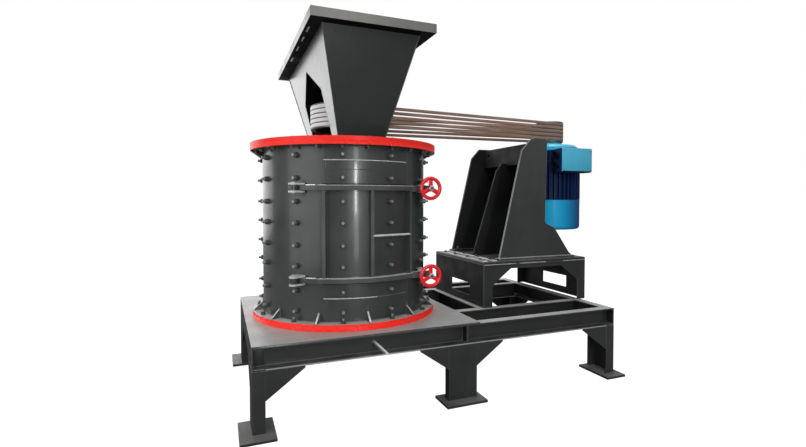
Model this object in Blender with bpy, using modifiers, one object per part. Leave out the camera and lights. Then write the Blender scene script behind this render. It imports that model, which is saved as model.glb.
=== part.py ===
"""Fine crusher: a vertical-shaft crushing drum on a beam base, belt-driven by an upright motor.

Metres, +Z up. The machine is drawn round the drum's axis at floor level, and everything hangs
on one empty that moves the origin under the middle of the whole machine. Sizes follow each other
outwards from the drum. Angles round the drum are in degrees and run from the front (-Y) to +X.
"""
import math

import bmesh
import bpy
from mathutils import Matrix, Vector

# Clearances
GAP = 0.0003          # between pieces that touch
RUN = 0.005           # round a piece that moves
PIN_RUN = 0.0005      # round a pin, a screw or a shaft in its bearing
SINK = 0.002          # how far welded pieces reach into each other

# Drum, whose axis is the line X = 0, Y = 0
DRUM_X = 0.0
DRUM_RADIUS = 0.620
WALL_THICKNESS = 0.045          # shell plate and bolted liner
CHAMBER_RADIUS = DRUM_RADIUS - WALL_THICKNESS
BOTTOM_FLANGE_RADIUS = DRUM_RADIUS + 0.076
TOP_FLANGE_RADIUS = DRUM_RADIUS + 0.088
OUTLET_RADIUS = CHAMBER_RADIUS - 0.075
SHELL_BOTTOM_FLANGE = 0.046
SHELL_HEIGHT = 1.176
TOP_FLANGE_THICKNESS = 0.027
COVER_THICKNESS = 0.028
BOLT_PITCH = 30.0               # gussets and bolt columns alternate at half this angle
RING_GUSSET_HEIGHT = 0.062
RING_GUSSET_THICKNESS = 0.012
TOP_GUSSET_ANGLES = (90.0, 120.0, 150.0, 180.0, 210.0, 240.0, 270.0)
PAD_THICKNESS = 0.006
PAD_HEIGHT = 0.062

# Base frame of channels, with the deck plate under the drum
BASE_HEIGHT = 0.546             # floor to the top of the deck plate
BASE_WIDTH = 2 * (BOTTOM_FLANGE_RADIUS + 0.094)
BASE_LEFT = -BOTTOM_FLANGE_RADIUS - 0.059
DECK_RIGHT = BOTTOM_FLANGE_RADIUS + 0.076
DECK_THICKNESS = 0.008
BEAM_DEPTH = 0.140
BEAM_WIDTH = 0.140              # the H beam under the deck's edge
CHANNEL_WIDTH = 0.078           # the channels round the base
BEAM_FLANGE = 0.012
BEAM_FLANGE_TIP = 0.010
BEAM_WEB = 0.008
STIFFENER_X = DECK_RIGHT - 0.095
STIFFENER_THICKNESS = 0.016
STAND_BEAM_WIDTH = 0.074
CROSS_BEAM_X = DECK_RIGHT + 0.273
CROSS_BEAM_WIDTH = 0.120
BEAM_TOP = BASE_HEIGHT - DECK_THICKNESS
BEAM_BOTTOM = BEAM_TOP - BEAM_DEPTH

# Legs, channels with gussets and foot plates
LEG_DEPTH = 0.215
LEG_FLANGE = 0.077
LEG_WALL = 0.010
MIDDLE_LEG_WIDTH = 0.218
MIDDLE_LEG_FLANGE = 0.062
MIDDLE_LEG_X = DECK_RIGHT - 0.133
GUSSET = (0.235, 0.183)         # reach out under the beam and drop beside a corner leg
MIDDLE_GUSSET = (0.213, 0.158)
GUSSET_INSET = 0.0008           # gusset faces behind the leg's own
FOOT_THICKNESS = 0.018
LEFT_FOOT = (0.210, 0.300)
RIGHT_FOOT = (0.182, 0.325)
MIDDLE_FOOT = (0.310, 0.205)
LEFT_FOOT_SIDE = 0.073          # foot plate beyond the leg, outwards in X
RIGHT_FOOT_SIDE = 0.050
FOOT_FRONT = 0.075              # foot plate beyond the leg, outwards in Y

# Heights of the drum
SHELL_LOW = BASE_HEIGHT + SHELL_BOTTOM_FLANGE
SHELL_HIGH = SHELL_LOW + SHELL_HEIGHT
COVER_LOW = SHELL_HIGH + TOP_FLANGE_THICKNESS
COVER_HIGH = COVER_LOW + COVER_THICKNESS

# Door
DOOR_CENTRE = 2.0
DOOR_HALF_ANGLE = 29.5
DOOR_LOW = SHELL_LOW + 0.253
DOOR_HIGH = SHELL_HIGH - 0.253
RAIL_HEIGHT = 0.032
RAIL_INSET = 0.0275             # from the door's edge to the middle of the rail
RAIL_HEIGHTS = (DOOR_LOW + RAIL_INSET, DOOR_HIGH - RAIL_INSET)
RIB_THICKNESS = 0.022
RIB_DEPTH = 0.046
HANDLE_RADIUS = 0.008
HANDLE_CLEAR = 0.040            # handle axis outside the drum's skin, at the ribs
HANDLE_HEIGHT = (DOOR_LOW + DOOR_HIGH) / 2 - 0.014
HINGE_ANGLE = -43.0
HINGE_RADIUS = DRUM_RADIUS + 0.070
PIN_RADIUS = 0.011
LUG_RADIUS = 0.032
LUG_THICKNESS = 0.012
ARM_THICKNESS = 0.030
ARM_DEPTH = 0.032

# Clamps on the door's free edge
CLAMP_X = DRUM_RADIUS * 0.725806              # from the drum's axis
CLAMP_WHEEL_Y = -DRUM_RADIUS * 1.056452
CLAMP_EAR_Y = -DRUM_RADIUS * 0.914516         # outer face of the ear
NUT_FACE_Y = -DRUM_RADIUS * 0.806452
EAR_END = 0.040                 # ear beyond the screw
EAR_THICKNESS = 0.030
EAR_HEIGHT = 0.044
NUT_BLOCK = (0.060, DRUM_RADIUS * 0.1694, 0.056)
WHEEL_RADIUS = 0.083
WHEEL_RIM = 0.011
WHEEL_HUB_RADIUS = 0.020
SCREW_RADIUS = 0.009

# Rotor and bearings
SHAFT_RADIUS = 0.070
SHAFT_NECK_RADIUS = 0.055
TIER_COUNT = 3
TIER_PITCH = SHELL_HEIGHT * 0.2976
TIER_FIRST = SHELL_LOW + 0.188
TIER_RADIUS = CHAMBER_RADIUS - 0.235
TIER_THICKNESS = 0.036
HAMMERS_PER_TIER = 4
HAMMER_SIZE = (0.110, 0.090, 0.140)     # along the radius, across it, tall
HAMMER_TIP_RADIUS = CHAMBER_RADIUS - 0.085
HUB_RADIUS = 0.135
HUB_LOW = BASE_HEIGHT - 0.116
HUB_HIGH = BASE_HEIGHT + 0.114
SPIDER_ARM_WIDTH = 0.070
SPIDER_ARM_HEIGHT = 0.060
SPIDER_SEAT = 0.050             # how far an arm lies on the deck beyond the outlet
PIPE_RADIUS = 0.010
PIPE_HEIGHT = BASE_HEIGHT - 0.068
PIPE_X = 0.010
PIPE_REACH = 0.210              # beyond the front of the base
UPPER_BEARING_RADIUS = 0.200
UPPER_BEARING_HEIGHT = 0.102
BEARING_TOP = COVER_HIGH + UPPER_BEARING_HEIGHT

# Belt drive
BELT_COUNT = 5
BELT_PITCH = 0.034
BELT_WIDTH = 0.026
BELT_BOTTOM_WIDTH = 0.017
BELT_DEPTH = 0.016
BELT_PROUD = 0.0025             # belt back outside the pulley's rim
BELT_RUN = 0.0005
GROOVE_FLOOR = 0.004            # floor of the groove below the belt
DRUM_PULLEY_RADIUS = 0.262
DRUM_PULLEY_RIM = 0.010         # plain rim above and below the grooves
MOTOR_PULLEY_RADIUS = 0.1255
PULLEY_WEB = 0.040
BELT_PACK = (BELT_COUNT - 1) * BELT_PITCH + BELT_WIDTH
PULLEY_LOW = BEARING_TOP + 0.020
PULLEY_HIGH = PULLEY_LOW + BELT_PACK + 2 * DRUM_PULLEY_RIM
BELT_CENTRE_Z = (PULLEY_LOW + PULLEY_HIGH) / 2

# Hopper
TUNNEL_HALF_WIDTH = DRUM_PULLEY_RADIUS + 0.078
TUNNEL_SHOULDER = PULLEY_HIGH + 0.063
TUNNEL_APEX = TUNNEL_SHOULDER + 0.200
HOPPER_RIM_X = 0.411            # half sizes
HOPPER_RIM_Y = TUNNEL_HALF_WIDTH + 0.500
HOPPER_RIM_LOW = TUNNEL_APEX + 0.110
HOPPER_RIM_HEIGHT = 0.060
HOPPER_RIM_HIGH = HOPPER_RIM_LOW + HOPPER_RIM_HEIGHT
HOPPER_RIM_LEDGE = 0.086
HOPPER_SHEET = 0.008
HOPPER_FOOT_X = 0.165
HOPPER_FOOT_Y = TUNNEL_HALF_WIDTH + 0.150

# Table under the bracket
TABLE_LEFT = DECK_RIGHT + 0.258
TABLE_LENGTH = 1.020
TABLE_RIGHT = TABLE_LEFT + TABLE_LENGTH
TABLE_FRONT_Y = -BASE_WIDTH / 2 + 0.390
TABLE_BACK_Y = BASE_WIDTH / 2 - 0.268
TABLE_TOP = BASE_HEIGHT + 0.359
TABLE_PLATE = 0.022
TABLE_PANEL = 0.012
TABLE_LEG = 0.080
TABLE_RAIL = 0.060
TABLE_CHAMFER = (0.175, 0.130)
TABLE_WINDOW = (0.350, 0.105)   # window in the left and right panels, along Y and tall
TABLE_WINDOW_Y = (TABLE_FRONT_Y + TABLE_BACK_Y) / 2 - 0.051
TABLE_WINDOW_LOW = BASE_HEIGHT + 0.054
BASE_RIGHT = TABLE_RIGHT - 0.048

# Motor bracket, between the table and the belts
BRACKET_PLATE = 0.020
BRACKET_FRONT_Y = TABLE_FRONT_Y + 0.070
BRACKET_BACK_Y = TABLE_BACK_Y - 0.042
BRACKET_LEFT = TABLE_LEFT + 0.180
BRACKET_FOOT_LENGTH = 0.745
BRACKET_RIGHT = BRACKET_LEFT + BRACKET_FOOT_LENGTH
BRACKET_LEAN = 0.214            # how far the sloping edge leans in up to the shoulder
BRACKET_BACK_OUT = 0.026        # the back cheek starts this much further left
MOUNT_FACE_X = BRACKET_LEFT + 0.473
MOUNT_PLATE = 0.025
BRACKET_TOP = PULLEY_LOW - 0.013
BRACKET_RISE = BRACKET_TOP - TABLE_TOP
BRACKET_SHOULDER_DROP = 0.109 * BRACKET_RISE
BRACKET_SHOULDER = BRACKET_TOP - BRACKET_SHOULDER_DROP
BRACKET_BACK_TOP = BRACKET_TOP - 0.026 * BRACKET_RISE
BRACKET_MIDDLE_TOP = BRACKET_TOP - 0.187 * BRACKET_RISE
BRACKET_MIDDLE_OUT = 0.022
BRACKET_MIDDLE_LEAN = 0.242
BRACKET_NOTCH_HIGH = TABLE_TOP + 0.331 * BRACKET_RISE
BRACKET_NOTCH_LOW = TABLE_TOP + 0.253 * BRACKET_RISE
BRACKET_NOTCH_DEPTH = 0.100
BRACKET_NECK_LEAN = 0.016       # the upright edge leans back this much down to the notch
MOUNT_PLATE_LOW = TABLE_TOP + 0.414 * BRACKET_RISE
BRACE_HEIGHT = 0.165 * BRACKET_RISE
BRACE_DROP = 0.015
BRACE_X = BRACKET_LEFT + 0.320
BRACE_HOLE = 0.020
BRACKET_FOOT = (0.070, 0.018)   # width and thickness of the foot flange

# Motor
MOTOR_RADIUS = 0.279            # over the fins
MOTOR_CORE_RADIUS = MOTOR_RADIUS - 0.032
MOTOR_FOOT_HEIGHT = MOTOR_RADIUS + 0.002
MOTOR_X = MOUNT_FACE_X + MOTOR_FOOT_HEIGHT
COWL_HEIGHT = 0.268
COWL_RADIUS = MOTOR_RADIUS - 0.002
FRAME_HEIGHT = 0.446
SHIELD_HEIGHT = 0.085
SHIELD_RADIUS = MOTOR_RADIUS - 0.016
MOTOR_TOP = PULLEY_LOW - 0.009
MOTOR_FRAME_LOW = MOTOR_TOP - SHIELD_HEIGHT - FRAME_HEIGHT
MOTOR_BOTTOM = MOTOR_FRAME_LOW - COWL_HEIGHT
FIN_COUNT = 40
FIN_THICKNESS = 0.011
MOTOR_SHAFT_RADIUS = 0.038
MOTOR_SHAFT_SEAT = 0.030        # shaft inside the top shield
MOTOR_FOOT = (0.060, 0.090, 0.330)      # across, out of the core, tall
MOTOR_FOOT_SPREAD = 0.215
TERMINAL_BOX = (0.326, 0.112, 0.214)
TERMINAL_BOX_SHIFT = 0.006      # its middle left of the motor's axis
TERMINAL_BOX_FACE_Y = -MOTOR_RADIUS - 0.116
TERMINAL_BOX_LOW = MOTOR_TOP - 0.293
BOX_SEAT = (0.220, 0.150)       # boss under the terminal box, wide and tall
BOX_EDGE = 0.014
GLAND_RADIUS = 0.030
GLAND_REACH = 0.030

# Facets
DRUM_STEPS = 60
PULLEY_STEPS = 36
SMALL_STEPS = 20

# The origin lies under the middle of the machine's overall box
LEFT_END = BASE_LEFT - LEFT_FOOT_SIDE
RIGHT_END = MOTOR_X + MOTOR_RADIUS
FRONT_END = -BASE_WIDTH / 2 - PIPE_REACH
BACK_END = BASE_WIDTH / 2 + FOOT_FRONT
FRAME_SHIFT = Vector((-(LEFT_END + RIGHT_END) / 2, -(FRONT_END + BACK_END) / 2, 0.0))

PAINT = ("dark_paint", (0.045, 0.052, 0.050), 0.35, 0.0)
DECK_GREY = ("deck_grey", (0.30, 0.31, 0.30), 0.45, 0.0)
RED = ("red_paint", (0.80, 0.03, 0.02), 0.35, 0.0)
HOPPER_GREY = ("hopper_grey", (0.05, 0.055, 0.052), 0.35, 0.0)
STEEL = ("bare_steel", (0.55, 0.55, 0.55), 0.35, 1.0)
CAST_STEEL = ("cast_steel", (0.20, 0.20, 0.21), 0.55, 0.9)
BELT_RUBBER = ("belt_rubber", (0.10, 0.085, 0.075), 0.7, 0.0)
MOTOR_BLUE = ("motor_blue", (0.01, 0.10, 0.28), 0.4, 0.0)
COWL_BLUE = ("cowl_blue", (0.02, 0.38, 0.62), 0.35, 0.0)


def clear_scene():
    """Remove what a new Blender scene holds."""
    for item in list(bpy.data.objects):
        bpy.data.objects.remove(item, do_unlink=True)


def material(finish):
    """The Principled material of one finish, made once."""
    name, colour, roughness, metallic = finish
    found = bpy.data.materials.get(name)
    if found:
        return found
    made = bpy.data.materials.new(name)
    made.use_nodes = True
    shader = made.node_tree.nodes["Principled BSDF"]
    shader.inputs["Base Color"].default_value = (*colour, 1.0)
    shader.inputs["Roughness"].default_value = roughness
    shader.inputs["Metallic"].default_value = metallic
    made.diffuse_color = (*colour, 1.0)
    return made


def link(item):
    """Put an object in the crusher's collection."""
    bpy.data.collections["fine_crusher"].objects.link(item)
    return item


def solid_from(name, build):
    """A mesh object from a function that fills a bmesh."""
    shape = bmesh.new()
    build(shape)
    bmesh.ops.recalc_face_normals(shape, faces=shape.faces)
    mesh = bpy.data.meshes.new(name)
    shape.to_mesh(mesh)
    shape.free()
    return link(bpy.data.objects.new(name, mesh))


def settle(item):
    """Turn an object and its modifiers into a plain closed mesh."""
    bpy.context.view_layer.update()
    graph = bpy.context.evaluated_depsgraph_get()
    mesh = bpy.data.meshes.new_from_object(item.evaluated_get(graph))
    shape = bmesh.new()
    shape.from_mesh(mesh)
    bmesh.ops.remove_doubles(shape, verts=shape.verts, dist=0.00002)
    bmesh.ops.recalc_face_normals(shape, faces=shape.faces)
    shape.to_mesh(mesh)
    shape.free()
    name = item.name
    made = bpy.data.objects.new(name + "_solid", mesh)
    made.matrix_world = item.matrix_world
    link(made)
    bpy.data.objects.remove(item, do_unlink=True)
    made.name = name
    return made


def boolean(target, operation, tools):
    """Apply one Boolean after another and use the tools up."""
    for tool in tools:
        step = target.modifiers.new(operation.lower(), "BOOLEAN")
        step.operation = operation
        step.solver = "EXACT"
        step.object = tool
        target = settle(target)
        bpy.data.objects.remove(tool, do_unlink=True)
    return target


def fuse(target, *tools):
    """Weld pieces into one solid."""
    return boolean(target, "UNION", tools)


def cut(target, *tools):
    """Take pieces out of a solid."""
    return boolean(target, "DIFFERENCE", tools)


def keep(target, tool):
    """Keep what lies inside another solid."""
    return boolean(target, "INTERSECT", (tool,))


def block(name, xs, ys, zs):
    """A box between two values on each axis."""
    size = Vector((xs[1] - xs[0], ys[1] - ys[0], zs[1] - zs[0]))
    centre = Vector((sum(xs), sum(ys), sum(zs))) / 2

    def build(shape):
        place = Matrix.Translation(centre) @ Matrix.Diagonal((*size, 1.0))
        bmesh.ops.create_cube(shape, size=1.0, matrix=place)
    return solid_from(name, build)


def frustum(name, low, high, z_low, z_high):
    """A block whose floor and top are different rectangles, each (x0, x1, y0, y1)."""
    def build(shape):
        bmesh.ops.create_cube(shape, size=1.0)
        for corner in shape.verts:
            at_top = corner.co.z > 0
            x0, x1, y0, y1 = high if at_top else low
            corner.co = (x1 if corner.co.x > 0 else x0,
                         y1 if corner.co.y > 0 else y0,
                         z_high if at_top else z_low)
    return solid_from(name, build)


def rod(name, start, end, radius, steps=SMALL_STEPS, end_radius=None):
    """A cylinder or cone between two points."""
    start, end = Vector(start), Vector(end)
    along = end - start
    turn = along.to_track_quat("Z", "Y").to_matrix().to_4x4()
    place = Matrix.Translation((start + end) / 2) @ turn

    def build(shape):
        bmesh.ops.create_cone(shape, cap_ends=True, segments=steps, radius1=radius,
                              radius2=radius if end_radius is None else end_radius,
                              depth=along.length, matrix=place)
    return solid_from(name, build)


PLANES = {
    "XY": Matrix.Identity(4),
    "XZ": Matrix(((1, 0, 0, 0), (0, 0, -1, 0), (0, 1, 0, 0), (0, 0, 0, 1))),
    "YZ": Matrix(((0, 0, 1, 0), (1, 0, 0, 0), (0, 1, 0, 0), (0, 0, 0, 1))),
}


def extruded(name, outline, plane, start, end, holes=()):
    """A flat outline in one plane, drawn out along that plane's normal between two places."""
    curve = bpy.data.curves.new(name, "CURVE")
    curve.dimensions = "2D"
    curve.fill_mode = "BOTH"
    curve.extrude = abs(end - start) / 2
    for points in (outline, *holes):
        spline = curve.splines.new("POLY")
        spline.points.add(len(points) - 1)
        for point, (u, v) in zip(spline.points, points):
            point.co = (u, v, 0.0, 1.0)
        spline.use_cyclic_u = True
    drawn = link(bpy.data.objects.new(name, curve))
    centre = (start + end) / 2
    depth = -centre if plane == "XZ" else centre
    drawn.matrix_world = PLANES[plane] @ Matrix.Translation((0, 0, depth))
    flat = settle(drawn)
    flat.data.transform(flat.matrix_world)
    flat.matrix_world = Matrix.Identity(4)
    return flat


def turned(name, profile, centre, steps):
    """A closed profile of (radius, height) points turned round an upright axis."""
    mesh = bpy.data.meshes.new(name)
    points = [(radius, 0.0, height) for radius, height in profile]
    on_axis = profile[0][0] == 0.0
    count = len(points)
    edges = [(i, i + 1) for i in range(count - 1)] + ([] if on_axis else [(count - 1, 0)])
    mesh.from_pydata(points, edges, [])
    item = link(bpy.data.objects.new(name, mesh))
    item.location = (centre[0], centre[1], 0.0)
    screw = item.modifiers.new("turn", "SCREW")
    screw.axis = "Z"
    screw.angle = math.tau
    screw.steps = steps
    screw.render_steps = steps
    screw.use_merge_vertices = True
    screw.merge_threshold = 0.00002
    made = settle(item)
    made.data.transform(made.matrix_world)
    made.matrix_world = Matrix.Identity(4)
    return made


def around(angle, radius):
    """The point at an angle and radius round the drum's axis."""
    turn = math.radians(angle)
    return Vector((DRUM_X + radius * math.sin(turn), -radius * math.cos(turn)))


def drum_arc(radius, start, end):
    """Points along an arc round the drum, on the drum's own facets."""
    pitch = 360.0 / DRUM_STEPS
    first = math.floor(start / pitch) + 1
    last = math.ceil(end / pitch) - 1
    angles = [start] + [step * pitch for step in range(first, last + 1)] + [end]
    return [tuple(around(angle, radius)) for angle in angles]


def ring_sector(name, radii, angles, zs):
    """A curved slab between two radii, two angles and two heights."""
    inner = drum_arc(radii[0], *angles)
    outer = drum_arc(radii[1], *angles)
    return extruded(name, outer + inner[::-1], "XY", *zs)


def circle(centre, radius, steps, phase=0.0):
    """Points round a circle."""
    turns = [math.tau * (step + phase) / steps for step in range(steps)]
    return [(centre[0] + radius * math.cos(turn), centre[1] + radius * math.sin(turn))
            for turn in turns]


def gap_angle(width, radius=DRUM_RADIUS):
    """The angle that a width takes up round the drum."""
    return math.degrees(width / radius)


def turn_about_drum(item, angle):
    """Swing a solid round the drum's axis."""
    axis = Vector((DRUM_X, 0.0, 0.0))
    spin = Matrix.Rotation(math.radians(angle), 4, "Z")
    item.data.transform(Matrix.Translation(axis) @ spin @ Matrix.Translation(-axis))
    return item


def h_outline(centre, top, width, depth):
    """The section of a rolled H beam."""
    half, web = width / 2, BEAM_WEB / 2
    low = top - depth
    right = [(half, low), (half, low + BEAM_FLANGE_TIP), (web, low + BEAM_FLANGE),
             (web, top - BEAM_FLANGE), (half, top - BEAM_FLANGE_TIP), (half, top)]
    left = [(-across, height) for across, height in right[::-1]]
    return [(centre + across, height) for across, height in right + left]


# Base frame


def channel_beam_outline(outer, direction, top):
    """The section of a channel whose flange tips lie at outer and whose web lies further in."""
    web = outer - direction * (CHANNEL_WIDTH - BEAM_WEB)
    back = outer - direction * CHANNEL_WIDTH
    low = top - BEAM_DEPTH
    return [(back, low), (outer, low), (outer, low + BEAM_FLANGE_TIP), (web, low + BEAM_FLANGE),
            (web, top - BEAM_FLANGE), (outer, top - BEAM_FLANGE_TIP), (outer, top), (back, top)]


def long_beam(name, side):
    """A front or back channel, open outwards, with a web stiffener, between the end channels."""
    outer = side * BASE_WIDTH / 2
    web = outer - side * (CHANNEL_WIDTH - BEAM_WEB / 2)
    ends = (BASE_LEFT + CHANNEL_WIDTH + GAP, BASE_RIGHT - CHANNEL_WIDTH - GAP)
    beam = extruded(name, channel_beam_outline(outer, side, BEAM_TOP - GAP), "YZ", *ends)
    ys = sorted((web, outer - side * SINK))
    zs = (BEAM_BOTTOM + BEAM_FLANGE - SINK, BEAM_TOP - BEAM_FLANGE + SINK)
    half = STIFFENER_THICKNESS / 2
    return fuse(beam, block("stiffener", (STIFFENER_X - half, STIFFENER_X + half), ys, zs))


def front_beam():
    """The front channel, with the hole that the grease pipe passes through."""
    beam = long_beam("front_beam", -1)
    web = -BASE_WIDTH / 2 + CHANNEL_WIDTH
    hole = rod("pipe_hole", (PIPE_X, web - CHANNEL_WIDTH / 2, PIPE_HEIGHT),
               (PIPE_X, web + CHANNEL_WIDTH / 2, PIPE_HEIGHT), PIPE_RADIUS + GAP)
    return cut(beam, hole)


def end_beam(name, side):
    """A channel across the whole end of the base, its web outside."""
    outer = BASE_RIGHT if side > 0 else BASE_LEFT
    outline = channel_beam_outline(outer - side * CHANNEL_WIDTH, -side, BEAM_TOP - GAP)
    return extruded(name, outline, "XZ", -BASE_WIDTH / 2, BASE_WIDTH / 2)


def cross_beam(name, centre_x, reach, width):
    """An H beam along Y between two places."""
    return extruded(name, h_outline(centre_x, BEAM_TOP - GAP, width, BEAM_DEPTH),
                    "XZ", *reach)


def base_frame():
    """All beams of the base."""
    inner_y = BASE_WIDTH / 2 - CHANNEL_WIDTH - GAP
    half = STAND_BEAM_WIDTH / 2
    front_centre, back_centre = TABLE_FRONT_Y + TABLE_PANEL / 2, TABLE_BACK_Y - TABLE_PANEL / 2
    along = (DECK_RIGHT + GAP, BASE_RIGHT - CHANNEL_WIDTH - GAP)
    beams = [front_beam(), long_beam("back_beam", 1),
             end_beam("left_beam", -1), end_beam("right_beam", 1),
             cross_beam("deck_edge_beam", DECK_RIGHT - BEAM_WIDTH / 2, (-inner_y, inner_y),
                        BEAM_WIDTH),
             cross_beam("table_cross_beam", CROSS_BEAM_X,
                        (front_centre + half + GAP, back_centre - half - GAP), CROSS_BEAM_WIDTH)]
    for name, centre in (("front_stand_beam", front_centre), ("back_stand_beam", back_centre)):
        outline = h_outline(centre, BEAM_TOP - GAP, STAND_BEAM_WIDTH, BEAM_DEPTH)
        beams.append(extruded(name, outline, "YZ", *along))
    return beams


def deck_plate():
    """The plate under the drum, with its round outlet."""
    half = BASE_WIDTH / 2
    outline = [(BASE_LEFT, -half), (DECK_RIGHT, -half), (DECK_RIGHT, half), (BASE_LEFT, half)]
    outlet = circle((DRUM_X, 0.0), OUTLET_RADIUS, DRUM_STEPS)
    return extruded("deck_plate", outline, "XY", BEAM_TOP, BASE_HEIGHT, (outlet,))


def channel_outline(size, wall, towards):
    """A channel section in (x, y) round its own middle, open towards +X, -X, +Y or -Y."""
    half_x, half_y = size[0] / 2, size[1] / 2
    if towards in ("+X", "-X"):
        points = [(-half_x, -half_y), (half_x, -half_y), (half_x, -half_y + wall),
                  (-half_x + wall, -half_y + wall), (-half_x + wall, half_y - wall),
                  (half_x, half_y - wall), (half_x, half_y), (-half_x, half_y)]
        return points if towards == "+X" else [(-x, y) for x, y in points]
    points = [(-half_x, -half_y), (half_x, -half_y), (half_x, half_y),
              (half_x - wall, half_y), (half_x - wall, -half_y + wall),
              (-half_x + wall, -half_y + wall), (-half_x + wall, half_y), (-half_x, half_y)]
    return points if towards == "+Y" else [(x, -y) for x, y in points]


def triangle(edge, direction, top, size):
    """A gusset's outline: from an edge it reaches out at the top and drops beside the leg."""
    back = edge - direction * LEG_WALL / 2
    reach, drop = size
    return [(back, top), (edge + direction * reach, top),
            (edge + direction * reach, top - LEG_WALL), (edge, top - drop), (back, top - drop)]


def leg(name, x_side, y_side):
    """A leg: a channel with its gussets and foot plate. x_side is -1, 0 or 1."""
    top = BEAM_BOTTOM - 2 * GAP
    outer_y = y_side * BASE_WIDTH / 2
    if x_side:
        size = (LEG_FLANGE, LEG_DEPTH)
        outer_x = BASE_RIGHT if x_side > 0 else BASE_LEFT
        centre_x = outer_x - x_side * LEG_FLANGE / 2
        opening = "-X" if x_side > 0 else "+X"
        foot, beyond = ((RIGHT_FOOT, RIGHT_FOOT_SIDE) if x_side > 0 else
                        (LEFT_FOOT, LEFT_FOOT_SIDE))
        foot_x = outer_x + x_side * (beyond - foot[0] / 2)
        directions, gusset_size = (-x_side,), GUSSET
    else:
        size = (MIDDLE_LEG_WIDTH, MIDDLE_LEG_FLANGE)
        centre_x = MIDDLE_LEG_X
        opening = "-Y" if y_side > 0 else "+Y"
        foot = MIDDLE_FOOT
        foot_x = MIDDLE_LEG_X
        directions, gusset_size = (-1, 1), MIDDLE_GUSSET
    centre_y = outer_y - y_side * size[1] / 2
    outline = [(centre_x + x, centre_y + y)
               for x, y in channel_outline(size, LEG_WALL, opening)]
    post = extruded(name, outline, "XY", FOOT_THICKNESS - SINK, top)
    depths = (GUSSET_INSET, LEG_WALL - GUSSET_INSET)
    plate_ys = sorted(outer_y - y_side * depth for depth in depths)
    head = top - GUSSET_INSET
    for direction in directions:
        edge = centre_x + direction * size[0] / 2
        outline = triangle(edge, direction, head, gusset_size)
        gusset = extruded("gusset", outline, "XZ", *plate_ys)
        post = fuse(post, gusset)
    if x_side:
        plate_xs = sorted(outer_x - x_side * depth for depth in depths)
        inner_edge = centre_y - y_side * size[1] / 2
        outline = triangle(inner_edge, -y_side, head, gusset_size)
        side_gusset = extruded("side_gusset", outline, "YZ", *plate_xs)
        post = fuse(post, side_gusset)
    foot_y = outer_y + y_side * (FOOT_FRONT - foot[1] / 2)
    plate = block("foot", (foot_x - foot[0] / 2, foot_x + foot[0] / 2),
                  (foot_y - foot[1] / 2, foot_y + foot[1] / 2), (0.0, FOOT_THICKNESS))
    return fuse(plate, post)


def legs():
    """The six legs."""
    made = []
    for y_side, row in ((-1, "front"), (1, "back")):
        for x_side, place in ((-1, "left"), (0, "middle"), (1, "right")):
            piece = leg(f"leg_{row}_{place}", x_side, y_side)
            piece.name = f"leg_{row}_{place}"
            made.append(piece)
    return made


# Drum


def ring_gusset(angle, flange_radius, level, direction):
    """A triangular rib between the shell and a flange, above or below it."""
    tip = level + direction * RING_GUSSET_HEIGHT
    inner = DRUM_RADIUS + GAP
    foot = flange_radius - 2 * SINK
    points = [(-inner, level - direction * SINK), (-foot, level - direction * SINK),
              (-foot, level + direction * SINK * 2), (-inner - SINK * 3, tip), (-inner, tip)]
    half = RING_GUSSET_THICKNESS / 2
    rib = extruded("ring_gusset", points, "YZ", DRUM_X - half, DRUM_X + half)
    return turn_about_drum(rib, angle)


def bottom_flange():
    """The ring that the drum stands on, with its gussets."""
    ring = turned("bottom_flange",
                  [(CHAMBER_RADIUS, SHELL_LOW), (BOTTOM_FLANGE_RADIUS, SHELL_LOW),
                   (BOTTOM_FLANGE_RADIUS, BASE_HEIGHT + GAP), (CHAMBER_RADIUS, BASE_HEIGHT + GAP)],
                  (DRUM_X, 0.0), DRUM_STEPS)
    for step in range(int(360 / BOLT_PITCH)):
        ring = fuse(ring, ring_gusset(step * BOLT_PITCH, BOTTOM_FLANGE_RADIUS, SHELL_LOW, 1))
    return ring


def top_flange():
    """The ring round the top of the shell, with gussets at the sides and back."""
    ring = turned("top_flange",
                  [(CHAMBER_RADIUS, COVER_LOW - GAP), (TOP_FLANGE_RADIUS, COVER_LOW - GAP),
                   (TOP_FLANGE_RADIUS, SHELL_HIGH + GAP), (CHAMBER_RADIUS, SHELL_HIGH + GAP)],
                  (DRUM_X, 0.0), DRUM_STEPS)
    for angle in TOP_GUSSET_ANGLES:
        ring = fuse(ring, ring_gusset(angle, TOP_FLANGE_RADIUS, SHELL_HIGH + GAP, -1))
    return ring


def cover_plate():
    """The lid of the drum, with a feed opening on each side of the shaft."""
    inner_x = HOPPER_FOOT_X - HOPPER_SHEET * 2
    near = TUNNEL_HALF_WIDTH + HOPPER_SHEET
    far = HOPPER_FOOT_Y - HOPPER_SHEET * 2
    openings = []
    for side in (-1, 1):
        ys = sorted((side * near, side * far))
        openings.append([(DRUM_X - inner_x, ys[0]), (DRUM_X + inner_x, ys[0]),
                         (DRUM_X + inner_x, ys[1]), (DRUM_X - inner_x, ys[1])])
    shaft_hole = circle((DRUM_X, 0.0), SHAFT_RADIUS + RUN, SMALL_STEPS)
    rim = circle((DRUM_X, 0.0), TOP_FLANGE_RADIUS, DRUM_STEPS, phase=0.0)
    return extruded("cover_plate", rim, "XY", COVER_LOW, COVER_HIGH, (*openings, shaft_hole))


def door_edges():
    """The two angles between which the doorway is cut."""
    return DOOR_CENTRE - DOOR_HALF_ANGLE, DOOR_CENTRE + DOOR_HALF_ANGLE


def shell_piece(name, angles, zs):
    """One piece of the drum's wall, a hair short of its neighbours."""
    half = gap_angle(GAP) / 2
    return ring_sector(name, (CHAMBER_RADIUS, DRUM_RADIUS),
                       (angles[0] + half, angles[1] - half), (zs[0] + GAP, zs[1] - GAP))


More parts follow.
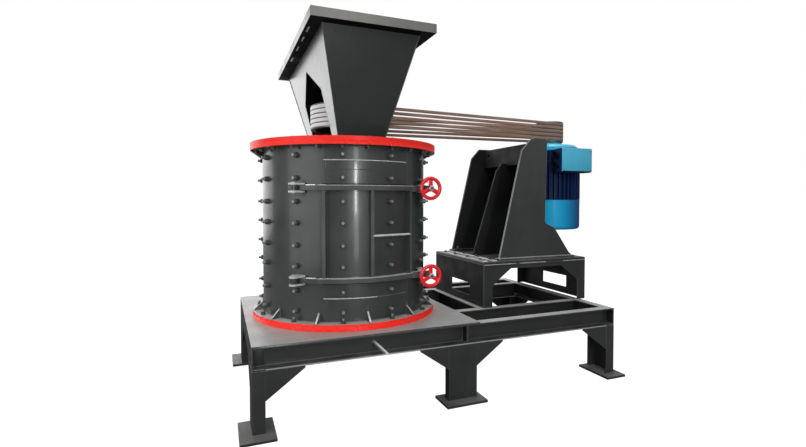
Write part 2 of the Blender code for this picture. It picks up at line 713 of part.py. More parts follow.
def wall_pad(low):
    """The thin raised strip above or below the door."""
    left, right = door_edges()
    return ring_sector("pad", (DRUM_RADIUS - SINK, DRUM_RADIUS + PAD_THICKNESS),
                       (left + 2.0, right - 2.0), (low, low + PAD_HEIGHT))


def hinge_lug(level):
    """One eye plate of the door's hinge, seated on the shell."""
    pivot = around(HINGE_ANGLE, HINGE_RADIUS)
    spread = gap_angle(LUG_RADIUS * 1.9)
    base_radius = DRUM_RADIUS - SINK
    outward = math.radians(HINGE_ANGLE)
    sweep = []
    for step in range(9):
        turn = outward + math.pi / 2 * (step / 4 - 1)
        sweep.append((pivot.x + LUG_RADIUS * math.sin(turn), pivot.y - LUG_RADIUS * math.cos(turn)))
    outline = [tuple(around(HINGE_ANGLE - spread, base_radius)), *sweep,
               tuple(around(HINGE_ANGLE + spread, base_radius))]
    return extruded("lug", outline, "XY", level - LUG_THICKNESS / 2, level + LUG_THICKNESS / 2)


def add_hinge(shell):
    """Weld both hinges' lugs and pins to the shell."""
    pivot = around(HINGE_ANGLE, HINGE_RADIUS)
    offset = ARM_THICKNESS / 2 + RUN + LUG_THICKNESS / 2
    for rail in RAIL_HEIGHTS:
        for side in (-1, 1):
            shell = fuse(shell, hinge_lug(rail + side * offset))
        reach = offset + LUG_THICKNESS
        shell = fuse(shell, rod("pin", (*pivot, rail - reach), (*pivot, rail + reach), PIN_RADIUS))
    return shell


def add_nut_blocks(shell):
    """Weld the blocks that the clamp screws pull against to the shell."""
    width, depth, height = NUT_BLOCK
    for rail in RAIL_HEIGHTS:
        xs = (DRUM_X + CLAMP_X - width / 2, DRUM_X + CLAMP_X + width / 2)
        nut = block("nut_block", xs, (NUT_FACE_Y, NUT_FACE_Y + depth),
                    (rail - height / 2, rail + height / 2))
        shell = fuse(shell, nut)
    return shell


def shell():
    """The drum's wall: two quarters on each side and the strips over and under the door."""
    left, right = door_edges()
    back = DOOR_CENTRE + 180.0
    left_middle = (left + back - 360.0) / 2
    right_middle = (right + back) / 2
    full = (SHELL_LOW, SHELL_HIGH)
    under = shell_piece("shell_under_door", (left, right), (SHELL_LOW, DOOR_LOW))
    over = shell_piece("shell_over_door", (left, right), (DOOR_HIGH, SHELL_HIGH))
    pad_offset = (DOOR_LOW - SHELL_LOW - PAD_HEIGHT) / 2
    return [
        fuse(under, wall_pad(SHELL_LOW + pad_offset)),
        fuse(over, wall_pad(SHELL_HIGH - pad_offset - PAD_HEIGHT)),
        add_hinge(shell_piece("shell_left_front", (left_middle, left), full)),
        shell_piece("shell_left_back", (back - 360.0, left_middle), full),
        add_nut_blocks(shell_piece("shell_right_front", (right, right_middle), full)),
        shell_piece("shell_right_back", (right_middle, back), full),
    ]


# Door


def door_rib(angle):
    """An upright rib on the door."""
    half = RIB_THICKNESS / 2
    rib = block("rib", (DRUM_X - half, DRUM_X + half),
                (-DRUM_RADIUS - RIB_DEPTH, -DRUM_RADIUS + SINK * 3),
                (RAIL_HEIGHTS[0], RAIL_HEIGHTS[1]))
    return turn_about_drum(rib, angle)


def door_arm(rail):
    """A hinge arm: an eye round the pin and a curved bar along the drum to the rail."""
    pivot = around(HINGE_ANGLE, HINGE_RADIUS)
    left = door_edges()[0]
    inner = DRUM_RADIUS + RIB_DEPTH - ARM_DEPTH + SINK
    zs = (rail - ARM_THICKNESS / 2, rail + ARM_THICKNESS / 2)
    bar = ring_sector("arm", (inner, inner + ARM_DEPTH + SINK), (HINGE_ANGLE, left + 6.0), zs)
    eye = rod("eye", (*pivot, zs[0]), (*pivot, zs[1]), LUG_RADIUS - SINK * 2)
    hole = rod("eye_hole", (*pivot, zs[0] - SINK), (*pivot, zs[1] + SINK), PIN_RADIUS + PIN_RUN)
    return cut(fuse(bar, eye), hole)


def door_ear(rail):
    """The lug on the door's free edge that the clamp's wheel presses on."""
    centre = DRUM_X + CLAMP_X
    right = around(door_edges()[1], DRUM_RADIUS + RIB_DEPTH)
    ear = block("ear", (right.x - 0.045, centre + EAR_END),
                (CLAMP_EAR_Y, CLAMP_EAR_Y + EAR_THICKNESS),
                (rail - EAR_HEIGHT / 2, rail + EAR_HEIGHT / 2))
    hole = rod("ear_hole", (centre, CLAMP_EAR_Y - SINK, rail),
               (centre, CLAMP_EAR_Y + EAR_THICKNESS + SINK, rail), SCREW_RADIUS + PIN_RUN)
    return cut(ear, hole)


def door():
    """The hinged door: curved panel, rails, ribs, hinge arms, ears and handle."""
    left, right = door_edges()
    edge = gap_angle(RUN, CHAMBER_RADIUS)
    leaf = ring_sector("door_panel", (CHAMBER_RADIUS, DRUM_RADIUS),
                       (left + edge, right - edge), (DOOR_LOW + RUN, DOOR_HIGH - RUN))
    for rail in RAIL_HEIGHTS:
        bar = ring_sector("rail", (DRUM_RADIUS - SINK, DRUM_RADIUS + RIB_DEPTH + SINK),
                          (left + edge + 0.3, right - edge - 0.3),
                          (rail - RAIL_HEIGHT / 2, rail + RAIL_HEIGHT / 2))
        leaf = fuse(leaf, bar, door_arm(rail), door_ear(rail))
    rib_angles = (left + 1.6, DOOR_CENTRE, right - 1.6)
    for angle in rib_angles:
        leaf = fuse(leaf, door_rib(angle))
    ends = [around(angle, DRUM_RADIUS + HANDLE_CLEAR) for angle in rib_angles[1:]]
    handle = rod("handle", (*ends[0], HANDLE_HEIGHT), (*ends[1], HANDLE_HEIGHT), HANDLE_RADIUS, 12)
    return fuse(leaf, handle)


def handwheel(name, rail):
    """A three-spoked wheel on its clamp screw."""
    centre = Vector((DRUM_X + CLAMP_X, CLAMP_WHEEL_Y, rail))
    profile = [(WHEEL_RADIUS - WHEEL_RIM + WHEEL_RIM * math.cos(math.tau * step / 8),
                WHEEL_RIM * math.sin(math.tau * step / 8)) for step in range(8)]
    wheel = turned(name, profile, (0.0, 0.0), 28)
    hub = rod("hub", (0, 0, -0.022), (0, 0, 0.024), WHEEL_HUB_RADIUS, 16)
    wheel = fuse(hub, wheel, *[spoke(step) for step in range(3)])
    wheel.data.transform(Matrix.Translation(centre) @ Matrix.Rotation(math.pi / 2, 4, "X"))
    screw_end = NUT_FACE_Y - 2 * PIN_RUN
    screw = rod("screw", (centre.x, centre.y, rail), (centre.x, screw_end, rail), SCREW_RADIUS, 16)
    collar = rod("collar", (centre.x, centre.y, rail),
                 (centre.x, CLAMP_EAR_Y - RUN, rail), SCREW_RADIUS * 1.7, 16)
    wheel = fuse(wheel, collar, screw)
    wheel.name = name
    return wheel


def spoke(step):
    """One flat spoke between the hub and the rim."""
    length = WHEEL_RADIUS - WHEEL_RIM
    bar = block("spoke", (WHEEL_HUB_RADIUS / 2, length), (-0.011, 0.011), (-0.006, 0.006))
    bar.data.transform(Matrix.Rotation(math.radians(90 + 120 * step), 4, "Z"))
    return bar


# Rotor and bearings


def rotor():
    """The shaft with three tiers of hammers, which turns inside the drum."""
    low = HUB_HIGH + RUN
    bearing_low = COVER_LOW - RUN * 2
    profile = [(0.0, low - 0.10), (SHAFT_NECK_RADIUS, low - 0.10), (SHAFT_NECK_RADIUS, low),
               (SHAFT_RADIUS, low), (SHAFT_RADIUS, bearing_low),
               (SHAFT_NECK_RADIUS, bearing_low), (SHAFT_NECK_RADIUS, PULLEY_HIGH + 0.02),
               (0.0, PULLEY_HIGH + 0.02)]
    shaft = turned("rotor", profile, (DRUM_X, 0.0), SMALL_STEPS)
    length, across, tall = HAMMER_SIZE
    for index in range(TIER_COUNT):
        level = TIER_FIRST + index * TIER_PITCH
        disc = rod("disc", (DRUM_X, 0, level - TIER_THICKNESS / 2),
                   (DRUM_X, 0, level + TIER_THICKNESS / 2), TIER_RADIUS, 32)
        boss = rod("boss", (DRUM_X, 0, level - TIER_THICKNESS * 2),
                   (DRUM_X, 0, level + TIER_THICKNESS * 2), SHAFT_RADIUS * 1.6, SMALL_STEPS)
        shaft = fuse(shaft, disc, boss)
        for step in range(HAMMERS_PER_TIER):
            hammer = block("hammer", (DRUM_X - across / 2, DRUM_X + across / 2),
                           (-HAMMER_TIP_RADIUS, -HAMMER_TIP_RADIUS + length),
                           (level - tall / 2, level + tall / 2))
            arm = block("hammer_arm", (DRUM_X - across / 3, DRUM_X + across / 3),
                        (-HAMMER_TIP_RADIUS + length / 2, -TIER_RADIUS + length / 2),
                        (level - TIER_THICKNESS, level + TIER_THICKNESS))
            turn = step * 360 / HAMMERS_PER_TIER + index * 30 + 15
            shaft = fuse(shaft, turn_about_drum(fuse(hammer, arm), turn))
    return shaft


def bottom_bearing():
    """The lower bearing: a hub on four arms across the outlet, and its grease pipe."""
    bore = SHAFT_NECK_RADIUS + PIN_RUN
    floor = HUB_LOW + 0.03
    hub = turned("bottom_bearing",
                 [(0.0, HUB_LOW), (HUB_RADIUS * 0.75, HUB_LOW), (HUB_RADIUS, HUB_LOW + 0.05),
                  (HUB_RADIUS, HUB_HIGH - 0.03), (HUB_RADIUS * 0.8, HUB_HIGH),
                  (bore, HUB_HIGH), (bore, floor), (0.0, floor)],
                 (DRUM_X, 0.0), 32)
    seat = BASE_HEIGHT + GAP
    reach = OUTLET_RADIUS + SPIDER_SEAT
    half = SPIDER_ARM_WIDTH / 2
    inner = (HUB_RADIUS + bore) / 2
    for angle in (45.0, 135.0, 225.0, 315.0):
        arm = block("arm", (DRUM_X - half, DRUM_X + half), (-reach, -inner),
                    (seat, seat + SPIDER_ARM_HEIGHT))
        hub = fuse(hub, turn_about_drum(arm, angle))
    pipe = rod("pipe", (PIPE_X, -inner, PIPE_HEIGHT),
               (PIPE_X, -BASE_WIDTH / 2 - PIPE_REACH, PIPE_HEIGHT), PIPE_RADIUS, 12)
    return fuse(hub, pipe)


def upper_bearing():
    """The housing round the shaft on the cover plate."""
    bore = SHAFT_NECK_RADIUS + PIN_RUN
    low = COVER_HIGH + GAP
    outline = [(bore, BEARING_TOP), (UPPER_BEARING_RADIUS * 0.72, BEARING_TOP),
               (UPPER_BEARING_RADIUS * 0.80, BEARING_TOP - 0.010),
               (UPPER_BEARING_RADIUS * 0.80, low + 0.022), (UPPER_BEARING_RADIUS, low + 0.018),
               (UPPER_BEARING_RADIUS, low), (bore, low)]
    return turned("upper_bearing", outline, (DRUM_X, 0.0), 32)


# Belt drive


def belt_levels():
    """The heights of the belts' middles, from the lowest up."""
    first = BELT_CENTRE_Z - (BELT_COUNT - 1) * BELT_PITCH / 2
    return [first + index * BELT_PITCH for index in range(BELT_COUNT)]


def groove_profile(radius, low, high):
    """The outer side of a grooved pulley, from the top down."""
    points = [(radius, high)]
    mouth = BELT_WIDTH / 2 + BELT_RUN
    floor = BELT_BOTTOM_WIDTH / 2 + BELT_RUN
    depth = BELT_DEPTH - BELT_PROUD + GROOVE_FLOOR
    for level in belt_levels()[::-1]:
        points += [(radius, level + mouth), (radius - depth, level + floor),
                   (radius - depth, level - floor), (radius, level - mouth)]
    return points + [(radius, low)]


def drum_pulley():
    """The big pulley on the rotor's shaft: grooved rim, web and hub."""
    bore = SHAFT_NECK_RADIUS + GAP
    hub = SHAFT_NECK_RADIUS + 0.045
    rim = DRUM_PULLEY_RADIUS - BELT_DEPTH - GROOVE_FLOOR - 0.018
    middle = (PULLEY_LOW + PULLEY_HIGH) / 2
    web_low, web_high = middle - PULLEY_WEB / 2, middle + PULLEY_WEB / 2
    outer = groove_profile(DRUM_PULLEY_RADIUS, PULLEY_LOW, PULLEY_HIGH)
    inner = [(rim, PULLEY_LOW), (rim, web_low), (hub, web_low), (hub, BEARING_TOP + RUN),
             (bore, BEARING_TOP + RUN), (bore, PULLEY_HIGH), (hub, PULLEY_HIGH),
             (hub, web_high), (rim, web_high), (rim, PULLEY_HIGH)]
    return turned("drum_pulley", outer + inner, (DRUM_X, 0.0), PULLEY_STEPS)


def motor_pulley():
    """The small pulley with the motor's shaft inside it."""
    low = MOTOR_TOP + RUN
    grooves = groove_profile(MOTOR_PULLEY_RADIUS, max(PULLEY_LOW, low), PULLEY_HIGH)
    levels = [point for point in grooves if point[1] >= low]
    if levels[-1][1] > low:
        levels.append((levels[-1][0], low))
    end = MOTOR_TOP - MOTOR_SHAFT_SEAT
    profile = [(0.0, PULLEY_HIGH), *levels, (MOTOR_SHAFT_RADIUS, low),
               (MOTOR_SHAFT_RADIUS, end), (0.0, end)]
    return turned("motor_pulley", profile, (MOTOR_X, 0.0), 28)


def belt_route(radius_drum, radius_motor):
    """The loop of a belt round both pulleys, seen from above."""
    span = MOTOR_X - DRUM_X
    lean = math.asin((radius_drum - radius_motor) / span)
    points = []
    for step in range(25):
        turn = math.pi / 2 - lean + (math.pi + 2 * lean) * step / 24
        points.append((DRUM_X + radius_drum * math.cos(turn), radius_drum * math.sin(turn)))
    for step in range(13):
        turn = -math.pi / 2 + lean + (math.pi - 2 * lean) * step / 12
        points.append((MOTOR_X + radius_motor * math.cos(turn), radius_motor * math.sin(turn)))
    return points


def belt(index, level):
    """One V-belt: a wedge section carried round both pulleys."""
    name = f"belt_{index + 1}"
    middle = BELT_PROUD - BELT_DEPTH / 2
    section = bpy.data.curves.new("belt_section", "CURVE")
    section.dimensions = "2D"
    wedge = section.splines.new("POLY")
    corners = [(BELT_DEPTH / 2, BELT_WIDTH / 2), (-BELT_DEPTH / 2, BELT_BOTTOM_WIDTH / 2),
               (-BELT_DEPTH / 2, -BELT_BOTTOM_WIDTH / 2), (BELT_DEPTH / 2, -BELT_WIDTH / 2)]
    wedge.points.add(len(corners) - 1)
    for point, (across, up) in zip(wedge.points, corners):
        point.co = (across, up, 0.0, 1.0)
    wedge.use_cyclic_u = True
    section_object = link(bpy.data.objects.new("belt_section", section))
    route = bpy.data.curves.new(name, "CURVE")
    route.dimensions = "3D"
    route.twist_mode = "Z_UP"
    route.bevel_mode = "OBJECT"
    route.bevel_object = section_object
    line = route.splines.new("POLY")
    points = belt_route(DRUM_PULLEY_RADIUS + middle, MOTOR_PULLEY_RADIUS + middle)
    line.points.add(len(points) - 1)
    for point, (x, y) in zip(line.points, points):
        point.co = (x, y, level, 1.0)
    line.use_cyclic_u = True
    loop = settle(link(bpy.data.objects.new(name, route)))
    bpy.data.objects.remove(section_object, do_unlink=True)
    return loop


# Hopper


def hopper_edges(inset, level):
    """Half sizes in X and Y of the funnel at a height, an inset inside its outer faces."""
    share = (level - COVER_HIGH) / (HOPPER_RIM_LOW - COVER_HIGH)
    mouth_x = HOPPER_RIM_X - HOPPER_RIM_LEDGE
    mouth_y = HOPPER_RIM_Y - HOPPER_RIM_LEDGE
    half_x = HOPPER_FOOT_X + (mouth_x - HOPPER_FOOT_X) * share - inset
    half_y = HOPPER_FOOT_Y + (mouth_y - HOPPER_FOOT_Y) * share - inset
    return half_x, half_y


def funnel(name, inset, x_range=(-1, 1), y_range=(-1, 1), over=0.0, margin=0.0):
    """The funnel's body, or the side of it beyond a wall: a range of 9 runs far past that wall."""
    rectangles = []
    z_low, z_high = COVER_HIGH + GAP - over, HOPPER_RIM_LOW - GAP + over
    for level in (z_low, z_high):
        half_x, half_y = hopper_edges(inset, level)
        xs = [DRUM_X + side * (half_x if abs(side) == 1 else abs(side)) for side in x_range]
        ys = [side * (half_y if abs(side) == 1 else abs(side)) for side in y_range]
        xs = [xs[0] - margin, xs[1] + margin]
        ys = [ys[0] - margin, ys[1] + margin]
        rectangles.append((*xs, *ys))
    return frustum(name, *rectangles, z_low, z_high)


def tunnel_outline(inset):
    """The gabled section of the belt tunnel in (y, z), an inset inside its outer faces."""
    half = TUNNEL_HALF_WIDTH - inset
    rise = TUNNEL_APEX - TUNNEL_SHOULDER
    slope = math.hypot(rise, TUNNEL_HALF_WIDTH) / TUNNEL_HALF_WIDTH
    apex = TUNNEL_APEX - inset * slope
    shoulder = apex - rise * half / TUNNEL_HALF_WIDTH
    low = COVER_HIGH + (GAP if inset >= 0 else -SINK)
    return [(-half, low), (half, low), (half, shoulder), (0.0, apex), (-half, shoulder)]


def hopper_walls():
    """The four sloping sides, with the belt tunnel cut out of the left and right ones."""
    reach = SINK * 5
    walls = []
    for name, y_range in (("hopper_front_wall", (-1, 9)), ("hopper_back_wall", (-9, 1))):
        side = funnel(name, 0.0)
        walls.append(cut(side, funnel("inside", HOPPER_SHEET, (-9, 9), y_range, reach)))
    for name, x_range in (("hopper_left_wall", (-1, 9)), ("hopper_right_wall", (-9, 1))):
        side = keep(funnel(name, 0.0), funnel("between", HOPPER_SHEET + GAP, (-9, 9), (-1, 1), reach))
        side = cut(side, funnel("inside", HOPPER_SHEET, x_range, (-9, 9), reach))
        width = HOPPER_RIM_X + HOPPER_SHEET
        tunnel = extruded("tunnel", tunnel_outline(-GAP), "YZ", DRUM_X - width, DRUM_X + width)
        walls.append(cut(side, tunnel))
    return walls


def belt_tunnel():
    """The gabled sheet that carries the belts through the hopper and sheds the feed."""
    width = HOPPER_RIM_X + HOPPER_SHEET
    outer = tunnel_outline(0.0)
    inner = tunnel_outline(HOPPER_SHEET)
    outline = [outer[0], inner[0], inner[4], inner[3], inner[2], inner[1],
               outer[1], outer[2], outer[3], outer[4]]
    sheet = extruded("belt_tunnel", outline, "YZ", DRUM_X - width, DRUM_X + width)
    return keep(sheet, funnel("outside", 0.0, over=SINK * 2))


def hopper_rim():
    """The upright band round the hopper's mouth and the ledge under it."""
    ledge_x, ledge_y = HOPPER_RIM_X - HOPPER_RIM_LEDGE, HOPPER_RIM_Y - HOPPER_RIM_LEDGE
    rim = frame_ring("hopper_rim", (HOPPER_RIM_X, HOPPER_RIM_Y),
                     (HOPPER_RIM_X - HOPPER_SHEET, HOPPER_RIM_Y - HOPPER_SHEET),
                     (HOPPER_RIM_LOW, HOPPER_RIM_HIGH))
    inner = (ledge_x - HOPPER_SHEET, ledge_y - HOPPER_SHEET)
    ledge = frame_ring("ledge", (HOPPER_RIM_X - SINK, HOPPER_RIM_Y - SINK), inner,
                       (HOPPER_RIM_LOW, HOPPER_RIM_LOW + HOPPER_SHEET))
    return fuse(rim, ledge)


def frame_ring(name, outer, inner, zs):
    """A rectangular ring round the drum's axis."""
    def corners(half):
        return [(DRUM_X - half[0], -half[1]), (DRUM_X + half[0], -half[1]),
                (DRUM_X + half[0], half[1]), (DRUM_X - half[0], half[1])]
    return extruded(name, corners(outer), "XY", *zs, holes=(corners(inner),))


# Motor


def motor_frame():
    """The finned body with its top shield and the feet that face the bracket."""
    outline = []
    for step in range(FIN_COUNT):
        middle = math.tau * step / FIN_COUNT
        half_tip = FIN_THICKNESS / 2 / MOTOR_RADIUS
        half_root = FIN_THICKNESS / 1.4 / MOTOR_CORE_RADIUS
        for radius, turn in ((MOTOR_CORE_RADIUS, middle - half_root), (MOTOR_RADIUS, middle - half_tip),
                             (MOTOR_RADIUS, middle + half_tip), (MOTOR_CORE_RADIUS, middle + half_root)):
            outline.append((MOTOR_X + radius * math.cos(turn), radius * math.sin(turn)))
    top = MOTOR_TOP - SHIELD_HEIGHT
    bore = MOTOR_SHAFT_RADIUS + PIN_RUN
    shaft_seat = MOTOR_TOP - MOTOR_SHAFT_SEAT - RUN
    body = extruded("motor_frame", outline, "XY", MOTOR_FRAME_LOW + GAP, top)
    shield = turned("shield",
                    [(0.0, top - SINK), (SHIELD_RADIUS, top - SINK), (SHIELD_RADIUS, top + 0.030),
                     (SHIELD_RADIUS * 0.88, top + 0.055), (SHIELD_RADIUS * 0.50, top + 0.062),
                     (SHIELD_RADIUS * 0.42, MOTOR_TOP), (bore, MOTOR_TOP),
                     (bore, shaft_seat), (0.0, shaft_seat)],
                    (MOTOR_X, 0.0), FIN_COUNT)
    body = fuse(body, shield)
    seat_low = TERMINAL_BOX_LOW + (TERMINAL_BOX[2] - BOX_SEAT[1]) / 2
    seat = block("box_seat", (MOTOR_X - BOX_SEAT[0] / 2, MOTOR_X + BOX_SEAT[0] / 2),
                 (TERMINAL_BOX_FACE_Y + TERMINAL_BOX[1] + GAP, -MOTOR_CORE_RADIUS * 0.8),
                 (seat_low, seat_low + BOX_SEAT[1]))
    body = fuse(body, seat)
    width, depth, tall = MOTOR_FOOT
    middle = (MOTOR_FRAME_LOW + top) / 2
    for side in (-1, 1):
        face = MOUNT_FACE_X + GAP
        centre = side * MOTOR_FOOT_SPREAD
        pad = block("foot", (face, face + 0.028), (centre - width / 2, centre + width / 2),
                    (middle - tall / 2, middle + tall / 2))
        inner = centre - side * width / 2
        web = block("foot_web", (face + 0.010, face + depth + 0.06),
                    sorted((inner - side * 0.012, inner + side * 0.012)),
                    (middle - tall / 2 + 0.03, middle + tall / 2 - 0.03))
        body = fuse(body, fuse(pad, web))
    return body


def fan_cowl():
    """The cowl over the fan at the motor's lower end, with an air inlet in its floor."""
    low, high = MOTOR_BOTTOM, MOTOR_FRAME_LOW
    edge = 0.030
    rim = []
    for step in range(5):
        turn = math.pi / 2 * step / 4
        rim.append((COWL_RADIUS - edge + edge * math.cos(turn), low + edge - edge * math.sin(turn)))
    profile = [(0.0, high), (COWL_RADIUS, high)] + rim + \
              [(COWL_RADIUS * 0.62, low), (COWL_RADIUS * 0.58, low + 0.012), (0.0, low + 0.012)]
    return turned("motor_fan_cowl", profile, (MOTOR_X, 0.0), PULLEY_STEPS)


def terminal_box():
    """The terminal box on its neck at the front of the motor, with two cable entries."""
    width, depth, height = TERMINAL_BOX
    face = TERMINAL_BOX_FACE_Y
    low = TERMINAL_BOX_LOW
    start = MOTOR_X - TERMINAL_BOX_SHIFT - width / 2
    box = block("terminal_box", (start, start + width),
                (face, face + depth), (low, low + height))
    rounding = box.modifiers.new("edges", "BEVEL")
    rounding.width = BOX_EDGE
    rounding.segments = 2
    rounding.limit_method = "ANGLE"
    box = settle(box)
    for level in (low + height * 0.30, low + height * 0.72):
        centre_y = face + depth * 0.55
        gland = rod("gland", (start + SINK, centre_y, level),
                    (start - GLAND_REACH, centre_y, level), GLAND_RADIUS, 16)
        bore = rod("gland_bore", (start - GLAND_REACH * 0.4, centre_y, level),
                   (start - GLAND_REACH * 1.3, centre_y, level), GLAND_RADIUS * 0.72, 16)
        box = fuse(box, cut(gland, bore))
    return box


# Motor bracket and table


def rounded(corner, before, after, radius, steps=5):
    """Points that round one corner of an outline, from the two points beside it."""
    corner, before, after = Vector(corner), Vector(before), Vector(after)
    into = (before - corner).normalized()
    out = (after - corner).normalized()
    half = into.angle(out) / 2
    start = corner + into * radius / math.tan(half)
    centre = corner + (into + out).normalized() * radius / math.sin(half)
    first = start - centre
    sweep = math.pi - 2 * half
    sign = 1 if into.cross(out) < 0 else -1
    points = []
    for step in range(steps + 1):
        turn = Matrix.Rotation(sign * sweep * step / steps, 2)
        points.append(tuple(centre + turn @ first))
    return points


def bracket_side(top, shoulder, out, chamfered):
    """The outline of a bracket cheek in (x, z): sloping left edge, upright right edge, flared foot."""
    low = TABLE_TOP + BRACKET_FOOT[1] - SINK
    left = BRACKET_LEFT - out
    right = MOUNT_FACE_X - GAP
    lean = BRACKET_LEAN * (shoulder - low) / (BRACKET_SHOULDER - low)
    left_high = left + lean
    neck_low = right - BRACKET_NECK_LEAN
    notch_x = neck_low + BRACKET_NOTCH_DEPTH
    notch = [(BRACKET_RIGHT - 0.035, low + 0.03), (notch_x, BRACKET_NOTCH_LOW)]
    neck = rounded((neck_low, BRACKET_NOTCH_HIGH - 0.035), (right, top),
                   (notch_x, BRACKET_NOTCH_LOW), 0.030, 3)[::-1]
    crown_left = (left_high, shoulder)
    crown_middle = (left_high + (top - shoulder) * 0.9, top)
    if chamfered:
        crown = [(right, top), crown_middle, crown_left]
    else:
        crown = [(right, top - 0.012), (right - 0.03, top),
                 *rounded(crown_middle, (right - 0.03, top), crown_left, 0.080, 4), crown_left]
    return [(left, low), (BRACKET_RIGHT, low), *notch, *neck, *crown]


def bracket_cheek(name, y, top, shoulder, out, chamfered):
    """A front or back cheek on its foot flange."""
    half = BRACKET_PLATE / 2
    cheek = extruded(name, bracket_side(top, shoulder, out, chamfered), "XZ", y - half, y + half)
    width, thickness = BRACKET_FOOT
    foot = block("foot_flange", (BRACKET_LEFT - out - 0.012, BRACKET_RIGHT + 0.01),
                 (y - width / 2, y + width / 2), (TABLE_TOP + GAP, TABLE_TOP + thickness))
    return fuse(cheek, foot)


def bracket_core():
    """The motor's mounting plate with the middle rib and the brace between the cheeks."""
    inner = (BRACKET_FRONT_Y + BRACKET_PLATE / 2 + GAP, BRACKET_BACK_Y - BRACKET_PLATE / 2 - GAP)
    plate = block("bracket_core", (MOUNT_FACE_X - MOUNT_PLATE, MOUNT_FACE_X), inner,
                  (MOUNT_PLATE_LOW, BRACKET_BACK_TOP))
    middle = sum(inner) / 2
    low = TABLE_TOP + GAP
    left = BRACKET_LEFT - BRACKET_MIDDLE_OUT
    left_high = left + BRACKET_MIDDLE_LEAN
    right = MOUNT_FACE_X - MOUNT_PLATE + SINK
    crown = 0.072 * BRACKET_RISE
    outline = [(left, low), (right, low), (right, BRACKET_MIDDLE_TOP),
               (left_high + crown * 0.75, BRACKET_MIDDLE_TOP),
               (left_high, BRACKET_MIDDLE_TOP - crown)]
    half = BRACKET_PLATE / 2
    rib = extruded("middle_rib", outline, "XZ", middle - half, middle + half)
    high = BRACKET_BACK_TOP - BRACE_DROP
    brace = block("brace", (BRACE_X, BRACE_X + BRACKET_PLATE), inner, (high - BRACE_HEIGHT, high))
    hole_y = inner[1] - BRACE_HEIGHT * 0.55
    hole_z = high - BRACE_HEIGHT * 0.35
    hole = rod("brace_hole", (BRACE_X - BRACKET_PLATE, hole_y, hole_z),
               (BRACE_X + BRACKET_PLATE * 2, hole_y, hole_z), BRACE_HOLE)
    shelf = block("shelf", (BRACE_X + SINK, right), inner,
                  (high - BRACE_HEIGHT, high - BRACE_HEIGHT + BRACKET_PLATE))
    return fuse(plate, rib, cut(brace, hole), shelf)


def table_front_outline():
    """A long side of the table in (x, z), with legs and a chamfered opening."""
    low, high = BEAM_TOP, TABLE_TOP - TABLE_PLATE - GAP
    chamfer_x, chamfer_z = TABLE_CHAMFER
    rail = high - TABLE_RAIL + TABLE_PLATE
    inner_left, inner_right = TABLE_LEFT + TABLE_LEG, TABLE_RIGHT - TABLE_LEG
    return [(TABLE_LEFT, low), (inner_left, low), (inner_left, rail - chamfer_z),
            (inner_left + chamfer_x, rail), (inner_right - chamfer_x, rail),
            (inner_right, rail - chamfer_z), (inner_right, low), (TABLE_RIGHT, low),
            (TABLE_RIGHT, high), (TABLE_LEFT, high)]


def table():
    """The table's four sides and its top plate."""
    high = TABLE_TOP - TABLE_PLATE - GAP
    pieces = [
        extruded("table_front", table_front_outline(), "XZ",
                 TABLE_FRONT_Y, TABLE_FRONT_Y + TABLE_PANEL),
        extruded("table_back", table_front_outline(), "XZ",
                 TABLE_BACK_Y - TABLE_PANEL, TABLE_BACK_Y),
    ]
    inner = (TABLE_FRONT_Y + TABLE_PANEL + GAP, TABLE_BACK_Y - TABLE_PANEL - GAP)
    side = [(inner[0], BEAM_TOP), (inner[1], BEAM_TOP), (inner[1], high), (inner[0], high)]
    window_y = TABLE_WINDOW_Y - TABLE_WINDOW[0] / 2
    window_z = TABLE_WINDOW_LOW
    window = [(window_y, window_z), (window_y + TABLE_WINDOW[0], window_z),
              (window_y + TABLE_WINDOW[0], window_z + TABLE_WINDOW[1]),
              (window_y, window_z + TABLE_WINDOW[1])]
    pieces.append(extruded("table_left", side, "YZ", TABLE_LEFT, TABLE_LEFT + TABLE_PANEL,
                           (window,)))
    pieces.append(extruded("table_right", side, "YZ", TABLE_RIGHT - TABLE_PANEL, TABLE_RIGHT,
                           (window,)))
    pieces.append(block("table_top", (TABLE_LEFT, TABLE_RIGHT), (TABLE_FRONT_Y, TABLE_BACK_Y),
                        (TABLE_TOP - TABLE_PLATE, TABLE_TOP)))
    return pieces


# Putting it together


def finish(item, look):
    """Give a piece its one material and shade its round sides smooth."""
    item.data.materials.clear()
    item.data.materials.append(material(look))
    item.data.shade_smooth()
    item.data.set_sharp_from_angle(angle=math.radians(35))
    return item


def pivot(name, place, parent):
    """An empty on a joint's axis."""
    empty = link(bpy.data.objects.new(name, None))
    empty.parent = parent
    offset = Vector((0.0, 0.0, 0.0)) if parent.name == "machine_frame" else parent["place"]
    empty.location = Vector(place) - Vector(offset)
    empty["place"] = place
    return empty


def hang(item, empty):
    """Hang a piece, drawn round the base's middle, on an empty."""
    item.parent = empty
    item.location = -Vector(empty["place"])


